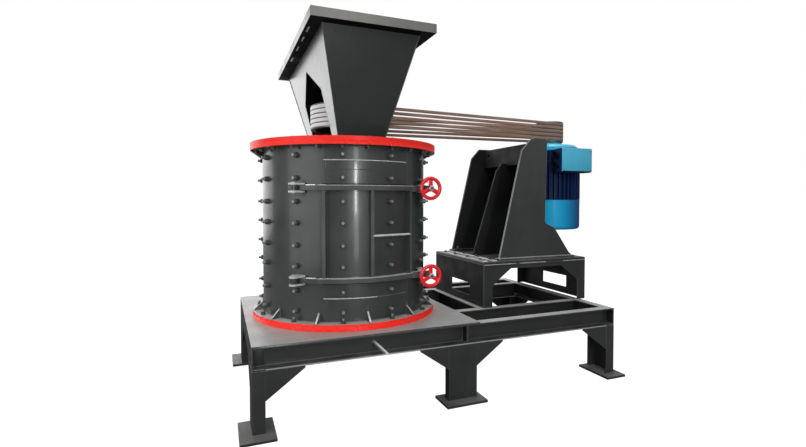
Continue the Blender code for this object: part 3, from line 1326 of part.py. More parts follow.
def main():
    """Build the crusher."""
    clear_scene()
    bpy.context.scene.collection.children.link(bpy.data.collections.new("fine_crusher"))

    fixed = {
        PAINT: [*base_frame(), *legs(), *shell(), upper_bearing(), *table(),
                bracket_cheek("bracket_front", BRACKET_FRONT_Y, BRACKET_TOP, BRACKET_SHOULDER,
                              0.0, False),
                bracket_cheek("bracket_back", BRACKET_BACK_Y, BRACKET_BACK_TOP,
                              BRACKET_SHOULDER - 0.01, BRACKET_BACK_OUT, True),
                bracket_core()],
        DECK_GREY: [deck_plate()],
        CAST_STEEL: [bottom_bearing()],
        RED: [bottom_flange(), top_flange(), cover_plate()],
        HOPPER_GREY: [hopper_rim(), *hopper_walls(), belt_tunnel()],
        BELT_RUBBER: [belt(index, level) for index, level in enumerate(belt_levels())],
        MOTOR_BLUE: [motor_frame()],
        COWL_BLUE: [fan_cowl(), terminal_box()],
    }
    frame = link(bpy.data.objects.new("machine_frame", None))
    frame.location = FRAME_SHIFT
    frame["place"] = (0.0, 0.0, 0.0)
    for look, pieces in fixed.items():
        for piece in pieces:
            hang(finish(piece, look), frame)

    hinge = around(HINGE_ANGLE, HINGE_RADIUS)
    door_pivot = pivot("door_pivot", (hinge.x, hinge.y, DOOR_LOW), frame)
    hang(finish(door(), PAINT), door_pivot)
    for name, rail in zip(("handwheel_lower", "handwheel_upper"), RAIL_HEIGHTS):
        place = (DRUM_X + CLAMP_X, CLAMP_WHEEL_Y, rail)
        hang(finish(handwheel(name, rail), RED), pivot(name + "_pivot", place, door_pivot))
    rotor_pivot = pivot("rotor_pivot", (DRUM_X, 0.0, HUB_HIGH), frame)
    hang(finish(rotor(), CAST_STEEL), rotor_pivot)
    hang(finish(drum_pulley(), STEEL), rotor_pivot)
    motor_pivot = pivot("motor_pivot", (MOTOR_X, 0.0, MOTOR_TOP), frame)
    hang(finish(motor_pulley(), STEEL), motor_pivot)


main()
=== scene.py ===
"""Looks of a fine crusher: an upright drum with a hopper, belt-driven by an upright motor.

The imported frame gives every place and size. This script lays fine skins over the plate work and
the turned pieces, adds bolts, welds and fittings, and gives each surface its finish. Angles round
the drum are in degrees and run from the door side (-Y) towards the motor (+X).
"""
import logging
import math
from collections.abc import Callable, Iterable, Sequence
from dataclasses import dataclass, field
from enum import Enum

import bmesh
import bpy
from mathutils import Matrix, Vector


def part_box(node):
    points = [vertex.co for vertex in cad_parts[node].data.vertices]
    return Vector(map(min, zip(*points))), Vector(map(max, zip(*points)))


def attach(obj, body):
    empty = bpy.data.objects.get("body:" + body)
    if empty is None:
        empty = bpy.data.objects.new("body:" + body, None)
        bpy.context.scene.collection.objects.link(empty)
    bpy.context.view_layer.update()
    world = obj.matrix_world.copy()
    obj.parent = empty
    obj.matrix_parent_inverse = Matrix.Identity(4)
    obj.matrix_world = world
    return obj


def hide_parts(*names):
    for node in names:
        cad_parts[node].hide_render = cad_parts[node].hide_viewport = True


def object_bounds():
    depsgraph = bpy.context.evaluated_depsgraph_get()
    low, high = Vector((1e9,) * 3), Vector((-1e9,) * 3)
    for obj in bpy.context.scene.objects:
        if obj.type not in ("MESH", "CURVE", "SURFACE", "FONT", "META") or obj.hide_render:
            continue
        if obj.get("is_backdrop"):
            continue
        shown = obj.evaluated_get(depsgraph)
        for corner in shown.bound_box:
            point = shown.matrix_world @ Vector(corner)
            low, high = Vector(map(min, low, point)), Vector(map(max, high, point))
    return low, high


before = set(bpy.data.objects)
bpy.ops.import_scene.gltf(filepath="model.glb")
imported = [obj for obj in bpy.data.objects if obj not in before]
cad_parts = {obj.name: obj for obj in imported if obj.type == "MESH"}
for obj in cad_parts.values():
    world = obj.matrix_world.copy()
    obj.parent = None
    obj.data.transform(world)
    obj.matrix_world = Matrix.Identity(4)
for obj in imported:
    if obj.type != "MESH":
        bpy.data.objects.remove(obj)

log = logging.getLogger("fine_crusher")

WHITE = (1.0, 1.0, 1.0, 1.0)

Colour = tuple[float, float, float]
Point = tuple[float, float, float]

EVEN: Point = (1.0, 1.0, 1.0)


# Finishes


class Nodes:
    """A node tree under construction."""

    def __init__(self, tree: bpy.types.NodeTree) -> None:
        """Take up a tree."""
        self.tree = tree

    def node(self, kind: str, **settings: object) -> bpy.types.Node:
        """Add a node and set its own properties.

        Args:
            kind: The node's type.
            settings: Its properties.

        Returns:
            The node.
        """
        made = self.tree.nodes.new(kind)
        for name, value in settings.items():
            setattr(made, name, value)
        return made

    def feed(self, socket: bpy.types.NodeSocket, source: object) -> None:
        """Link an input or set its value.

        Args:
            socket: The input.
            source: An output to link it to, or a plain value.
        """
        if isinstance(source, bpy.types.NodeSocket):
            self.tree.links.new(source, socket)
        else:
            socket.default_value = source

    def step(self, kind: str, settings: dict[str, object] | None = None,
             **sources: object) -> bpy.types.NodeSocket:
        """Add a node and feed its inputs.

        Args:
            kind: The node's type.
            settings: Its own properties.
            sources: Outputs or values for its inputs, named in lower case with underscores.

        Returns:
            The node's first output.
        """
        made = self.node(kind, **(settings or {}))
        for name, source in sources.items():
            self.feed(made.inputs[name.replace("_", " ").title()], source)
        return made.outputs[0]

    def math(self, operation: str,
             *terms: bpy.types.NodeSocket | float) -> bpy.types.NodeSocket:
        """Reckon with numbers.

        Args:
            operation: The Math node's operation.
            terms: What it works on, in order.

        Returns:
            The result.
        """
        made = self.node("ShaderNodeMath", operation=operation)
        for socket, term in zip(made.inputs, terms):
            self.feed(socket, term)
        return made.outputs[0]


class Shader(Nodes):
    """A Principled material under construction."""

    def __init__(self, name: str) -> None:
        """Start a material with its object coordinates and its Principled shader.

        Args:
            name: The material's name.
        """
        self.material = bpy.data.materials.new(name)
        self.material.use_nodes = True
        super().__init__(self.material.node_tree)
        self.surface = self.tree.nodes["Principled BSDF"]
        self.place = self.node("ShaderNodeTexCoord").outputs["Object"]

    def set(self, **sources: object) -> None:
        """Feed the shader's own inputs.

        Args:
            sources: Outputs or values, named in lower case with underscores.
        """
        for name, source in sources.items():
            label = name.replace("_", " ").title().replace("Ior", "IOR")
            self.feed(self.surface.inputs[label], source)

    def noise(self, scale: float, detail: float = 4.0,
              stretch: Point = EVEN) -> bpy.types.NodeSocket:
        """A noise value on object coordinates, by waves per metre, octaves and stretch."""
        spot = self.step("ShaderNodeMapping", vector=self.place, scale=stretch)
        return self.step("ShaderNodeTexNoise", vector=spot, scale=scale, detail=detail)

    def spread(self, value: bpy.types.NodeSocket, low: float, high: float,
               start: float = 0.0, end: float = 1.0) -> bpy.types.NodeSocket:
        """Map a value from low..high to start..end and clamp it."""
        return self.step("ShaderNodeMapRange", value=value, from_min=low, from_max=high,
                         to_min=start, to_max=end)

    def times(self, first: bpy.types.NodeSocket,
              second: bpy.types.NodeSocket | float) -> bpy.types.NodeSocket:
        """Multiply two values."""
        return self.math("MULTIPLY", first, second)

    def mix(self, share: bpy.types.NodeSocket, first: bpy.types.NodeSocket | Colour,
            second: bpy.types.NodeSocket | Colour) -> bpy.types.NodeSocket:
        """Blend two colours.

        Args:
            share: How much of the second colour there is.
            first: A colour or a socket.
            second: A colour or a socket.

        Returns:
            The blended colour.
        """
        blend = self.node("ShaderNodeMix", data_type="RGBA")
        self.feed(blend.inputs["Factor"], share)
        for colour, socket in ((first, blend.inputs[6]), (second, blend.inputs[7])):
            self.feed(socket, (*colour, 1.0) if isinstance(colour, tuple) else colour)
        return blend.outputs[2]

    def along(self, axis: str, start: float, end: float) -> bpy.types.NodeSocket:
        """Tell how far a spot lies from one place on an axis (0) to another (1)."""
        return self.spread(self._part(self.place, axis), start, end)

    def upward(self, low: float = 0.55, high: float = 0.95) -> bpy.types.NodeSocket:
        """Tell how far a surface faces up, from 0 to 1 between two heights of its normal."""
        normal = self.node("ShaderNodeNewGeometry").outputs["Normal"]
        return self.spread(self._part(normal, "Z"), low, high)

    def _part(self, vector: bpy.types.NodeSocket, axis: str) -> bpy.types.NodeSocket:
        """Take one coordinate of a vector.

        Args:
            vector: The vector.
            axis: The coordinate, X, Y or Z.

        Returns:
            The coordinate.
        """
        split = self.node("ShaderNodeSeparateXYZ")
        self.feed(split.inputs[0], vector)
        return split.outputs[axis]

    def bump(self, height: bpy.types.NodeSocket, depth: float) -> None:
        """Raise the surface by a height map, as deep as given in metres."""
        self.set(normal=self.step("ShaderNodeBump", distance=depth, height=height))


def shade(colour: Colour, factor: float) -> Colour:
    """A colour made darker or lighter."""
    return tuple(min(1.0, channel * factor) for channel in colour)


@dataclass(frozen=True)
class Enamel:
    """Brushed-on enamel on plate: drifting tone, faint runs, dusty tops, painted shade if asked."""

    name: str
    slot: str
    colour: Colour
    roughness: float = 0.30
    coat: float = 0.35
    drift: float = 0.22
    dust_and_painted_light: float = 0.30
    dust_colour: Colour = (0.36, 0.35, 0.33)
    peel: float = 0.00035
    runs: float = 0.25
    shine: float = 0.5
    gloss_coat: float = 0.16
    painted_shade: Colour | None = None
    painted_shade_span: tuple[float, float] = (0.0, 1.0)
    gloss_span: tuple[float, float] = (0.75, 1.35)

    def build(self) -> bpy.types.Material:
        """Make the material.

        Returns:
            The material.
        """
        shader = Shader(self.name)
        tone = shader.mix(shader.spread(shader.noise(2.2, 5.0), 0.3, 0.7),
                          shade(self.colour, 1.0 - self.drift),
                          shade(self.colour, 1.0 + self.drift))
        runs = shader.spread(shader.noise(16.0, 3.0, (1.0, 1.0, 0.12)), 0.48, 0.75)
        tone = shader.mix(shader.times(runs, self.runs), tone, shade(self.colour, 1.5))
        # Painted shade: the colour turns darker along X, where less light falls.
        if self.painted_shade:
            painted_shade_share = shader.along("X", *self.painted_shade_span)
            tone = shader.mix(painted_shade_share, tone, self.painted_shade)
        patches = shader.spread(shader.noise(5.5, 8.0), 0.35, 0.72)
        dusty = shader.times(shader.times(shader.upward(), patches), self.dust_and_painted_light)
        low, high = (self.roughness * share for share in self.gloss_span)
        gloss = shader.spread(shader.noise(7.0, 6.0), 0.25, 0.8, low, high)
        shader.bump(shader.noise(55.0, 3.0), self.peel)
        shader.set(base_color=shader.mix(dusty, tone, self.dust_colour), roughness=gloss,
                   coat_weight=self.coat, coat_roughness=self.gloss_coat,
                   specular_ior_level=self.shine)
        return shader.material


@dataclass(frozen=True)
class Metal:
    """Bare or thinly oiled steel: fine scratches, stains and some rust where asked."""

    name: str
    slot: str
    colour: Colour
    roughness: float = 0.34
    grain: Point = (1.0, 1.0, 12.0)
    stain: Colour = (0.16, 0.11, 0.08)
    stained: float = 0.25
    metallic: float = 1.0

    def build(self) -> bpy.types.Material:
        """Make the material.

        Returns:
            The material.
        """
        shader = Shader(self.name)
        scratches = shader.noise(90.0, 6.0, self.grain)
        tone = shader.mix(shader.spread(scratches, 0.3, 0.7), shade(self.colour, 0.78),
                          shade(self.colour, 1.18))
        blot = shader.times(shader.spread(shader.noise(9.0, 8.0), 0.5, 0.72), self.stained)
        gloss = shader.spread(scratches, 0.2, 0.8, self.roughness * 0.7, self.roughness * 1.4)
        shader.bump(shader.noise(220.0, 4.0, self.grain), 0.0002)
        shader.set(base_color=shader.mix(blot, tone, self.stain), roughness=gloss,
                   metallic=self.metallic)
        return shader.material


@dataclass(frozen=True)
class BeltRubber:
    """V-belt rubber: a fabric cover with worn pale streaks along its run."""

    name: str
    slot: str
    colour: Colour
    streak: Colour
    # Painted light: a pale colour on the bend round the big pulley, over a span along X.
    dust_and_painted_light: Colour
    painted_light_span: tuple[float, float]

    def build(self) -> bpy.types.Material:
        """Make the material.

        Returns:
            The material.
        """
        shader = Shader(self.name)
        streaks = shader.spread(shader.noise(60.0, 3.0, (0.03, 1.0, 2.2)), 0.45, 0.7)
        weave = shader.noise(420.0, 2.0)
        tone = shader.mix(shader.times(streaks, 0.55), self.colour, self.streak)
        # Painted light: pale on the bend round the big pulley.
        tone = shader.mix(shader.along("X", *self.painted_light_span), tone, self.dust_and_painted_light)
        tone = shader.mix(shader.times(weave, 0.12), tone, shade(self.colour, 0.5))
        shader.bump(weave, 0.0004)
        shader.set(base_color=tone, roughness=0.50, sheen_weight=0.05)
        return shader.material


class Finish(Enum):
    """The finishes of the machine."""

    DARK = Enamel("dark_enamel", "dark_paint", (0.035, 0.041, 0.037), roughness=0.34, coat=0.34,
                  gloss_coat=0.10)
    # Lighter enamel on the rounded plate edges: a painted highlight.
    EDGE_HIGHLIGHT = Enamel("enamel_edge_highlight", "dark_paint", (0.10, 0.11, 0.105), roughness=0.28,
                       coat=0.4, dust_and_painted_light=0.5)
    BASE = Enamel("base_enamel", "dark_paint", (0.028, 0.031, 0.029), roughness=0.38, coat=0.15,
                  shine=0.4)
    # Near-black enamel: painted shade on faces and pieces that get little light.
    SHADE_DARK = Enamel("painted_shade_enamel", "dark_paint", (0.012, 0.013, 0.012), roughness=0.60, coat=0.0,
                  shine=0.2)
    # Lighter enamel: a painted reflection on the door ribs' fronts; also the foot plates' tops.
    LIGHTER = Enamel("lighter_enamel", "dark_paint", (0.080, 0.084, 0.080), roughness=0.50, coat=0.0,
                  drift=0.35, dust_and_painted_light=0.35, shine=0.25)
    # Pale enamel: painted highlights on tops, edges and welds of the dark plate work.
    HIGHLIGHT = Enamel("highlight_enamel", "deck_grey", (0.37, 0.375, 0.365), roughness=0.38, coat=0.10,
                  drift=0.20, dust_and_painted_light=0.45, dust_colour=(0.48, 0.47, 0.45), shine=0.4)
    # Silver enamel: bright fittings, and painted highlights on upward faces and pad edges.
    SILVER_AND_HIGHLIGHT = Enamel("silver_and_highlight_enamel", "bare_steel", (0.58, 0.58, 0.57), coat=0.40, drift=0.18,
                    dust_and_painted_light=0.20, dust_colour=(0.36, 0.34, 0.31))
    HOPPER = Enamel("hopper_enamel", "hopper_grey", (0.023, 0.026, 0.024), roughness=0.28,
                    coat=0.45, drift=0.12, runs=0.10, gloss_span=(0.92, 1.12))
    # Lighter grey: a painted reflection on the hopper rim's outer faces.
    RIM_HIGHLIGHT = Enamel("rim_highlight_enamel", "hopper_grey", (0.15, 0.145, 0.13), roughness=0.34, coat=0.20,
                 drift=0.15)
    # Near-black: black glands and lid joint; painted shade in tunnel, under rim, bearing and slots.
    BLACK_AND_SHADE = Enamel("shaded_enamel", "hopper_grey", (0.004, 0.004, 0.004), roughness=0.7, coat=0.0,
                  dust_and_painted_light=0.0, shine=0.1)
    # Pale deck top: grey paint lightened by a painted reflection of the light from above.
    DECK = Enamel("deck_enamel", "deck_grey", (0.29, 0.295, 0.285), roughness=0.42, coat=0.05,
                  drift=0.12, dust_and_painted_light=0.50, dust_colour=(0.38, 0.37, 0.35), shine=0.35)
    RED = Enamel("red_enamel", "red_paint", (0.96, 0.026, 0.014), roughness=0.40, coat=0.05,
                 drift=0.04, dust_and_painted_light=0.0, runs=0.04, shine=0.2)
    WHEEL_RED = Enamel("wheel_enamel", "red_paint", (0.86, 0.012, 0.022), roughness=0.24,
                       coat=0.45, drift=0.10, dust_and_painted_light=0.0, runs=0.06, shine=0.3)
    # The cowl's colour darkens towards +X as painted shade.
    CYAN = Enamel("light_blue_enamel", "cowl_blue", (0.008, 0.50, 0.86), roughness=0.44, coat=0.03,
                  drift=0.08, dust_and_painted_light=0.04, runs=0.06, shine=0.2, painted_shade=(0.004, 0.060, 0.22),
                  painted_shade_span=(1.08, 1.40))
    SKY = Enamel("sky_blue_enamel", "cowl_blue", (0.070, 0.47, 0.68), roughness=0.34, coat=0.25,
                 drift=0.08, dust_and_painted_light=0.06, runs=0.08)
    BLUE = Enamel("deep_blue_enamel", "motor_blue", (0.003, 0.020, 0.085), roughness=0.55,
                  coat=0.0, drift=0.25, dust_and_painted_light=0.0, shine=0.2)
    STEEL = Metal("turned_steel", "bare_steel", (0.50, 0.50, 0.50))
    BRIGHT = Metal("bright_steel", "bare_steel", (0.78, 0.78, 0.77), roughness=0.28, stained=0.10)
    BOLT = Metal("bolt_steel", "bare_steel", (0.060, 0.066, 0.063), roughness=0.36, grain=EVEN,
                 stained=0.2, metallic=0.2)
    # Stud ends, lighter than the nuts as a painted highlight.
    TIP = Metal("stud_ends", "bare_steel", (0.27, 0.27, 0.26), roughness=0.38, grain=EVEN,
                stained=0.2, metallic=0.3)
    CAST = Metal("rough_casting", "cast_steel", (0.20, 0.195, 0.19), roughness=0.5, grain=EVEN,
                 stained=0.4)
    WEAR = Metal("worn_liner", "cast_steel", (0.26, 0.25, 0.24), roughness=0.42,
                 grain=(1.0, 1.0, 0.4), stained=0.6)
    # The pale colour on the bend round the big pulley is painted light.
    BELT = BeltRubber("v_belt_cover", "belt_rubber", (0.245, 0.142, 0.100),
                      streak=(0.48, 0.36, 0.29), dust_and_painted_light=(0.90, 0.87, 0.87),
                      painted_light_span=(-0.780, -0.880))
    WELD = Metal("painted_weld", "dark_paint", (0.10, 0.105, 0.10), roughness=0.33, grain=EVEN,
                 stained=0.1, metallic=0.2)

    @property
    def material(self) -> bpy.types.Material:
        """The finish's material, made once."""
        return bpy.data.materials.get(self.value.name) or self.value.build()

    @property
    def slot(self) -> str:
        """The record's material slot that the finish belongs to."""
        return self.value.slot


# Meshes


def placed(name: str, data: bpy.types.ID) -> bpy.types.Object:
    """Link a new object that stands at the origin, unturned.

    Args:
        name: The object's name.
        data: Its mesh, light or camera.

    Returns:
        The object.
    """
    item = bpy.data.objects.new(name, data)
    bpy.context.scene.collection.objects.link(item)
    return item


def drawn(shape: bmesh.types.BMesh, name: str) -> bpy.types.Mesh:
    """Turn a finished shape into a mesh.

    Args:
        shape: The shape, which is freed.
        name: The mesh's name.

    Returns:
        The mesh.
    """
    mesh = bpy.data.meshes.new(name)
    shape.to_mesh(mesh)
    shape.free()
    return mesh


def soften(item: bpy.types.Object, width: float, angle: float = 32.0,
           miter: str = "MITER_ARC") -> bpy.types.BevelModifier:
    """Round an object's sharp edges.

    Args:
        item: The object.
        width: How wide the rounding is.
        angle: The angle in degrees from which an edge is sharp.
        miter: How the rounding meets at outer corners.

    Returns:
        The modifier.
    """
    bevel = item.modifiers.new("soften", "BEVEL")
    bevel.width = width
    bevel.segments = 2
    bevel.limit_method = "ANGLE"
    bevel.angle_limit = math.radians(angle)
    bevel.miter_outer = miter
    return bevel


class Mesher:
    """Bodies drawn into one mesh, each face with the finish that was current when it was made."""

    def __init__(self) -> None:
        """Start empty."""
        self.shape = bmesh.new()
        self.finishes: list[Finish] = []

    def index(self, finish: Finish) -> int:
        """Find the material index of a finish.

        Args:
            finish: The finish, which is noted if it is new.

        Returns:
            The index.
        """
        if finish not in self.finishes:
            self.finishes.append(finish)
        return self.finishes.index(finish)

    def _paint(self, verts: Iterable[bmesh.types.BMVert], finish: Finish) -> None:
        """Give the faces of new vertices their finish.

        Args:
            verts: The vertices.
            finish: The finish.
        """
        number = self.index(finish)
        for vert in verts:
            for face in vert.link_faces:
                face.material_index = number

    def block(self, low: Sequence[float], high: Sequence[float], finish: Finish,
              turn: Matrix | None = None, bevel: float = 0.002) -> None:
        """Add a box with rounded edges, between two corners, then turned.

        Args:
            low: Lowest corner.
            high: Highest corner.
            finish: Its finish.
            turn: A placement applied after it is drawn.
            bevel: Width of its rounded edges.
        """
        low, high = Vector(low), Vector(high)
        place = Matrix.Translation((low + high) / 2) @ Matrix.Diagonal((*(high - low), 1.0))
        made = bmesh.ops.create_cube(self.shape, size=1.0, matrix=place)["verts"]
        edges = dict.fromkeys(edge for vert in made for edge in vert.link_edges)
        if bevel:
            rounded = bmesh.ops.bevel(self.shape, geom=list(edges), offset=bevel, segments=2,
                                      affect="EDGES", profile=0.5)
            made = rounded["verts"] + [vert for vert in made if vert.is_valid]
        if turn is not None:
            bmesh.ops.transform(self.shape, matrix=turn, verts=list(dict.fromkeys(made)))
        self._paint(made, finish)

    def turned(self, profile: Sequence[tuple[float, float]], place: Matrix, finish: Finish,
               steps: int = 48) -> None:
        """Add a profile that is turned round its own Z.

        Args:
            profile: Its points, as radius and height.
            place: Where it is put.
            finish: Its finish.
            steps: How many sides it has.
        """
        rings: list[list[bmesh.types.BMVert]] = []
        for radius, height in profile:
            if radius < 1e-6:
                rings.append([self.shape.verts.new(place @ Vector((0.0, 0.0, height)))])
                continue
            ring = []
            for step in range(steps):
                turn = math.tau * step / steps
                spot = Vector((radius * math.cos(turn), radius * math.sin(turn), height))
                ring.append(self.shape.verts.new(place @ spot))
            rings.append(ring)
        number = self.index(finish)
        faces = []
        for below, above in zip(rings, rings[1:]):
            for step in range(steps):
                after = (step + 1) % steps
                corners = [below[step % len(below)], below[after % len(below)],
                           above[after % len(above)], above[step % len(above)]]
                corners = list(dict.fromkeys(corners))
                if len(corners) > 2:
                    faces.append(self.shape.faces.new(corners))
        for face in faces:
            face.material_index = number
            face.smooth = True

    def rod(self, start: Sequence[float], end: Sequence[float], radius: float, finish: Finish,
            steps: int = 16, chamfer: float = 0.001) -> None:
        """Add a round bar with chamfered ends.

        Args:
            start: The middle of one end.
            end: The middle of the other.
            radius: Its radius.
            finish: Its finish.
            steps: How many sides it has.
            chamfer: The width of the chamfer.
        """
        start, end = Vector(start), Vector(end)
        length = (end - start).length
        aim = (end - start).to_track_quat("Z", "Y").to_matrix().to_4x4()
        self.turned([(0.0, 0.0), (radius - chamfer, 0.0), (radius, chamfer),
                     (radius, length - chamfer), (radius - chamfer, length), (0.0, length)],
                    Matrix.Translation(start) @ aim, finish, steps)

    def piece(self, name: str, body: str, smooth: float = 35.0) -> bpy.types.Object:
        """Turn what was drawn into a piece that rides on a body.

        Args:
            name: The piece's name.
            body: The body that it moves with.
            smooth: Angle in degrees above which an edge stays sharp.

        Returns:
            The piece.
        """
        bmesh.ops.recalc_face_normals(self.shape, faces=self.shape.faces)
        mesh = drawn(self.shape, name)
        mesh.shade_smooth()
        mesh.set_sharp_from_angle(angle=math.radians(smooth))
        for finish in self.finishes:
            mesh.materials.append(finish.material)
        return enter(name, mesh, body, self.finishes[0].slot)


def enter(name: str, mesh: bpy.types.Mesh, body: str, slot: str,
          *nodes: str) -> bpy.types.Object:
    """Put a finished mesh in the scene as a piece of the machine.

    Args:
        name: The piece's name.
        mesh: Its mesh, in place.
        body: The body that it moves with.
        slot: The record's material slot that it takes its finish from; not used.
        nodes: CAD nodes that it stands for.

    Returns:
        The piece.
    """
    item = placed(name, mesh)
    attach(item, body)
    if nodes:
        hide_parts(*nodes)
    log.info("%s: %d faces on %s", name, len(mesh.polygons), body)
    return item


def settled(item: bpy.types.Object) -> bpy.types.Mesh:
    """Work an object's modifiers into its mesh, and remove the object.

    Args:
        item: The object.

    Returns:
        The mesh.
    """
    bpy.context.view_layer.update()
    graph = bpy.context.evaluated_depsgraph_get()
    mesh = bpy.data.meshes.new_from_object(item.evaluated_get(graph))
    bpy.data.objects.remove(item, do_unlink=True)
    return mesh


def smoothed(mesh: bpy.types.Mesh, sharp: float = 40.0) -> bpy.types.Mesh:
    """Shade a mesh so that its large faces stay flat and its rounded edges turn softly.

    Args:
        mesh: The mesh.
        sharp: Angle in degrees above which an edge stays sharp.

    Returns:
        The shaded mesh.
    """
    mesh.shade_smooth()
    mesh.set_sharp_from_angle(angle=math.radians(sharp))
    item = placed(mesh.name, mesh)
    weigh = item.modifiers.new("weigh", "WEIGHTED_NORMAL")
    weigh.mode = "FACE_AREA"
    weigh.weight = 50
    weigh.keep_sharp = True
    return settled(item)


# Fine skins over the frame's own nodes

FaceRule = Callable[[bmesh.types.BMFace], Finish | None]
FLAT = math.radians(0.4)
FACING = 0.5


@dataclass(frozen=True)
class Axis:
    """An upright axis that round pieces are turned about."""

    x: float
    y: float

    @staticmethod
    def of(node: str) -> "Axis":
        """The middle of a node's box, seen from above."""
        low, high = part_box(node)
        return Axis((low[0] + high[0]) / 2, (low[1] + high[1]) / 2)

    def radius(self, spot: Vector) -> float:
        """The distance of a point from the axis."""
        return math.hypot(spot.x - self.x, spot.y - self.y)

    def angle(self, spot: Vector) -> float:
        """The angle of a point from the front, in degrees."""
        return math.degrees(math.atan2(spot.x - self.x, self.y - spot.y))

    def at(self, angle: float, radius: float, height: float) -> Vector:
        """A point by its angle from the front, its radius and its height."""
        turn = math.radians(angle)
        return Vector((self.x + radius * math.sin(turn), self.y - radius * math.cos(turn), height))

    def outward(self, angle: float) -> Vector:
        """The direction away from the axis at an angle."""
        turn = math.radians(angle)
        return Vector((math.sin(turn), -math.cos(turn), 0.0))


@dataclass
class Skin:
    """A fine copy of a CAD node: merged faces, true rounds, softened edges and its finishes."""

    node: str
    finish: Finish
    # Rounded edges mostly take a lighter enamel as a painted highlight.
    edge: Finish | None = None
    bevel: float = 0.0018
    body: str = "machine"
    axis: Axis | None = None
    facets: int = 60
    steps: int = 240
    radii: tuple[float, ...] = ()
    rule: FaceRule | None = None

    def build(self) -> bpy.types.Object:
        """Make the skin and let it stand for its node.

        Returns:
            The piece.
        """
        name = f"{self.node}_skin"
        shape = bmesh.new()
        shape.from_mesh(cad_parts[self.node].data)
        bmesh.ops.remove_doubles(shape, verts=shape.verts, dist=0.00002)
        self._merge(shape)
        if self.axis:
            self._round(shape)
        finishes = [self.finish]
        for face in shape.faces:
            face.material_index = 0
            chosen = self.rule(face) if self.rule else None
            if chosen:
                if chosen not in finishes:
                    finishes.append(chosen)
                face.material_index = finishes.index(chosen)
        mesh = drawn(shape, name)
        edge = self.edge or self.finish
        if edge not in finishes:
            finishes.append(edge)
        for finish in finishes:
            mesh.materials.append(finish.material)
        item = placed(name, mesh)
        if self.bevel:
            bevel = soften(item, self.bevel)
            if self.edge:
                bevel.material = finishes.index(edge)
        return enter(name, smoothed(settled(item)), self.body, self.finish.slot, self.node)

    @staticmethod
    def _merge(shape: bmesh.types.BMesh) -> None:
        """Join the triangles of each flat face, apart from those with a hole in them.

        Args:
            shape: The shape.
        """
        shape.edges.index_update()
        inner: list[bmesh.types.BMEdge] = []
        left = set(shape.faces)
        while left:
            waiting = [left.pop()]
            region = set(waiting)
            while waiting:
                for edge in waiting.pop().edges:
                    if len(edge.link_faces) != 2 or edge.calc_face_angle() > FLAT:
                        continue
                    for face in edge.link_faces:
                        if face in left:
                            left.remove(face)
                            region.add(face)
                            waiting.append(face)
            edges = {edge for face in region for edge in face.edges}
            verts = {vert for face in region for vert in face.verts}
            if len(verts) - len(edges) + len(region) == 1:
                inner += [edge for edge in edges if all(face in region for face in edge.link_faces)]
        inner.sort(key=lambda edge: edge.index)
        bmesh.ops.dissolve_limit(shape, angle_limit=FLAT, verts=shape.verts, edges=inner,
                                 delimit={"NORMAL"})

    def _round(self, shape: bmesh.types.BMesh) -> None:
        """Cut the flat facets finely and push the new points out to the true round.

        Args:
            shape: The shape.
        """
        assert self.axis is not None
        centre = Vector((self.axis.x, self.axis.y, 0.0))
        for step in range(self.steps // 2):
            turn = math.tau * (step + 0.5) / self.steps
            bmesh.ops.bisect_plane(shape, geom=shape.verts[:] + shape.edges[:] + shape.faces[:],
                                   plane_co=centre, dist=1e-6,
                                   plane_no=(math.cos(turn), math.sin(turn), 0.0))
        facet = math.tau / self.facets
        narrow = math.cos(facet / 2)
        for vert in shape.verts:
            radius = self.axis.radius(vert.co)
            if radius < 1e-4:
                continue
            if self.radii:
                true = next((wide for wide in self.radii
                             if wide * narrow - 4e-5 <= radius <= wide + 4e-5), radius)
            else:
                turn = math.atan2(vert.co.y - self.axis.y, vert.co.x - self.axis.x)
                lean = (turn % facet) - facet / 2
                true = radius * math.cos(lean) / narrow
            vert.co.x = self.axis.x + (vert.co.x - self.axis.x) * true / radius
            vert.co.y = self.axis.y + (vert.co.y - self.axis.y) * true / radius


# What Geometry Nodes repeat


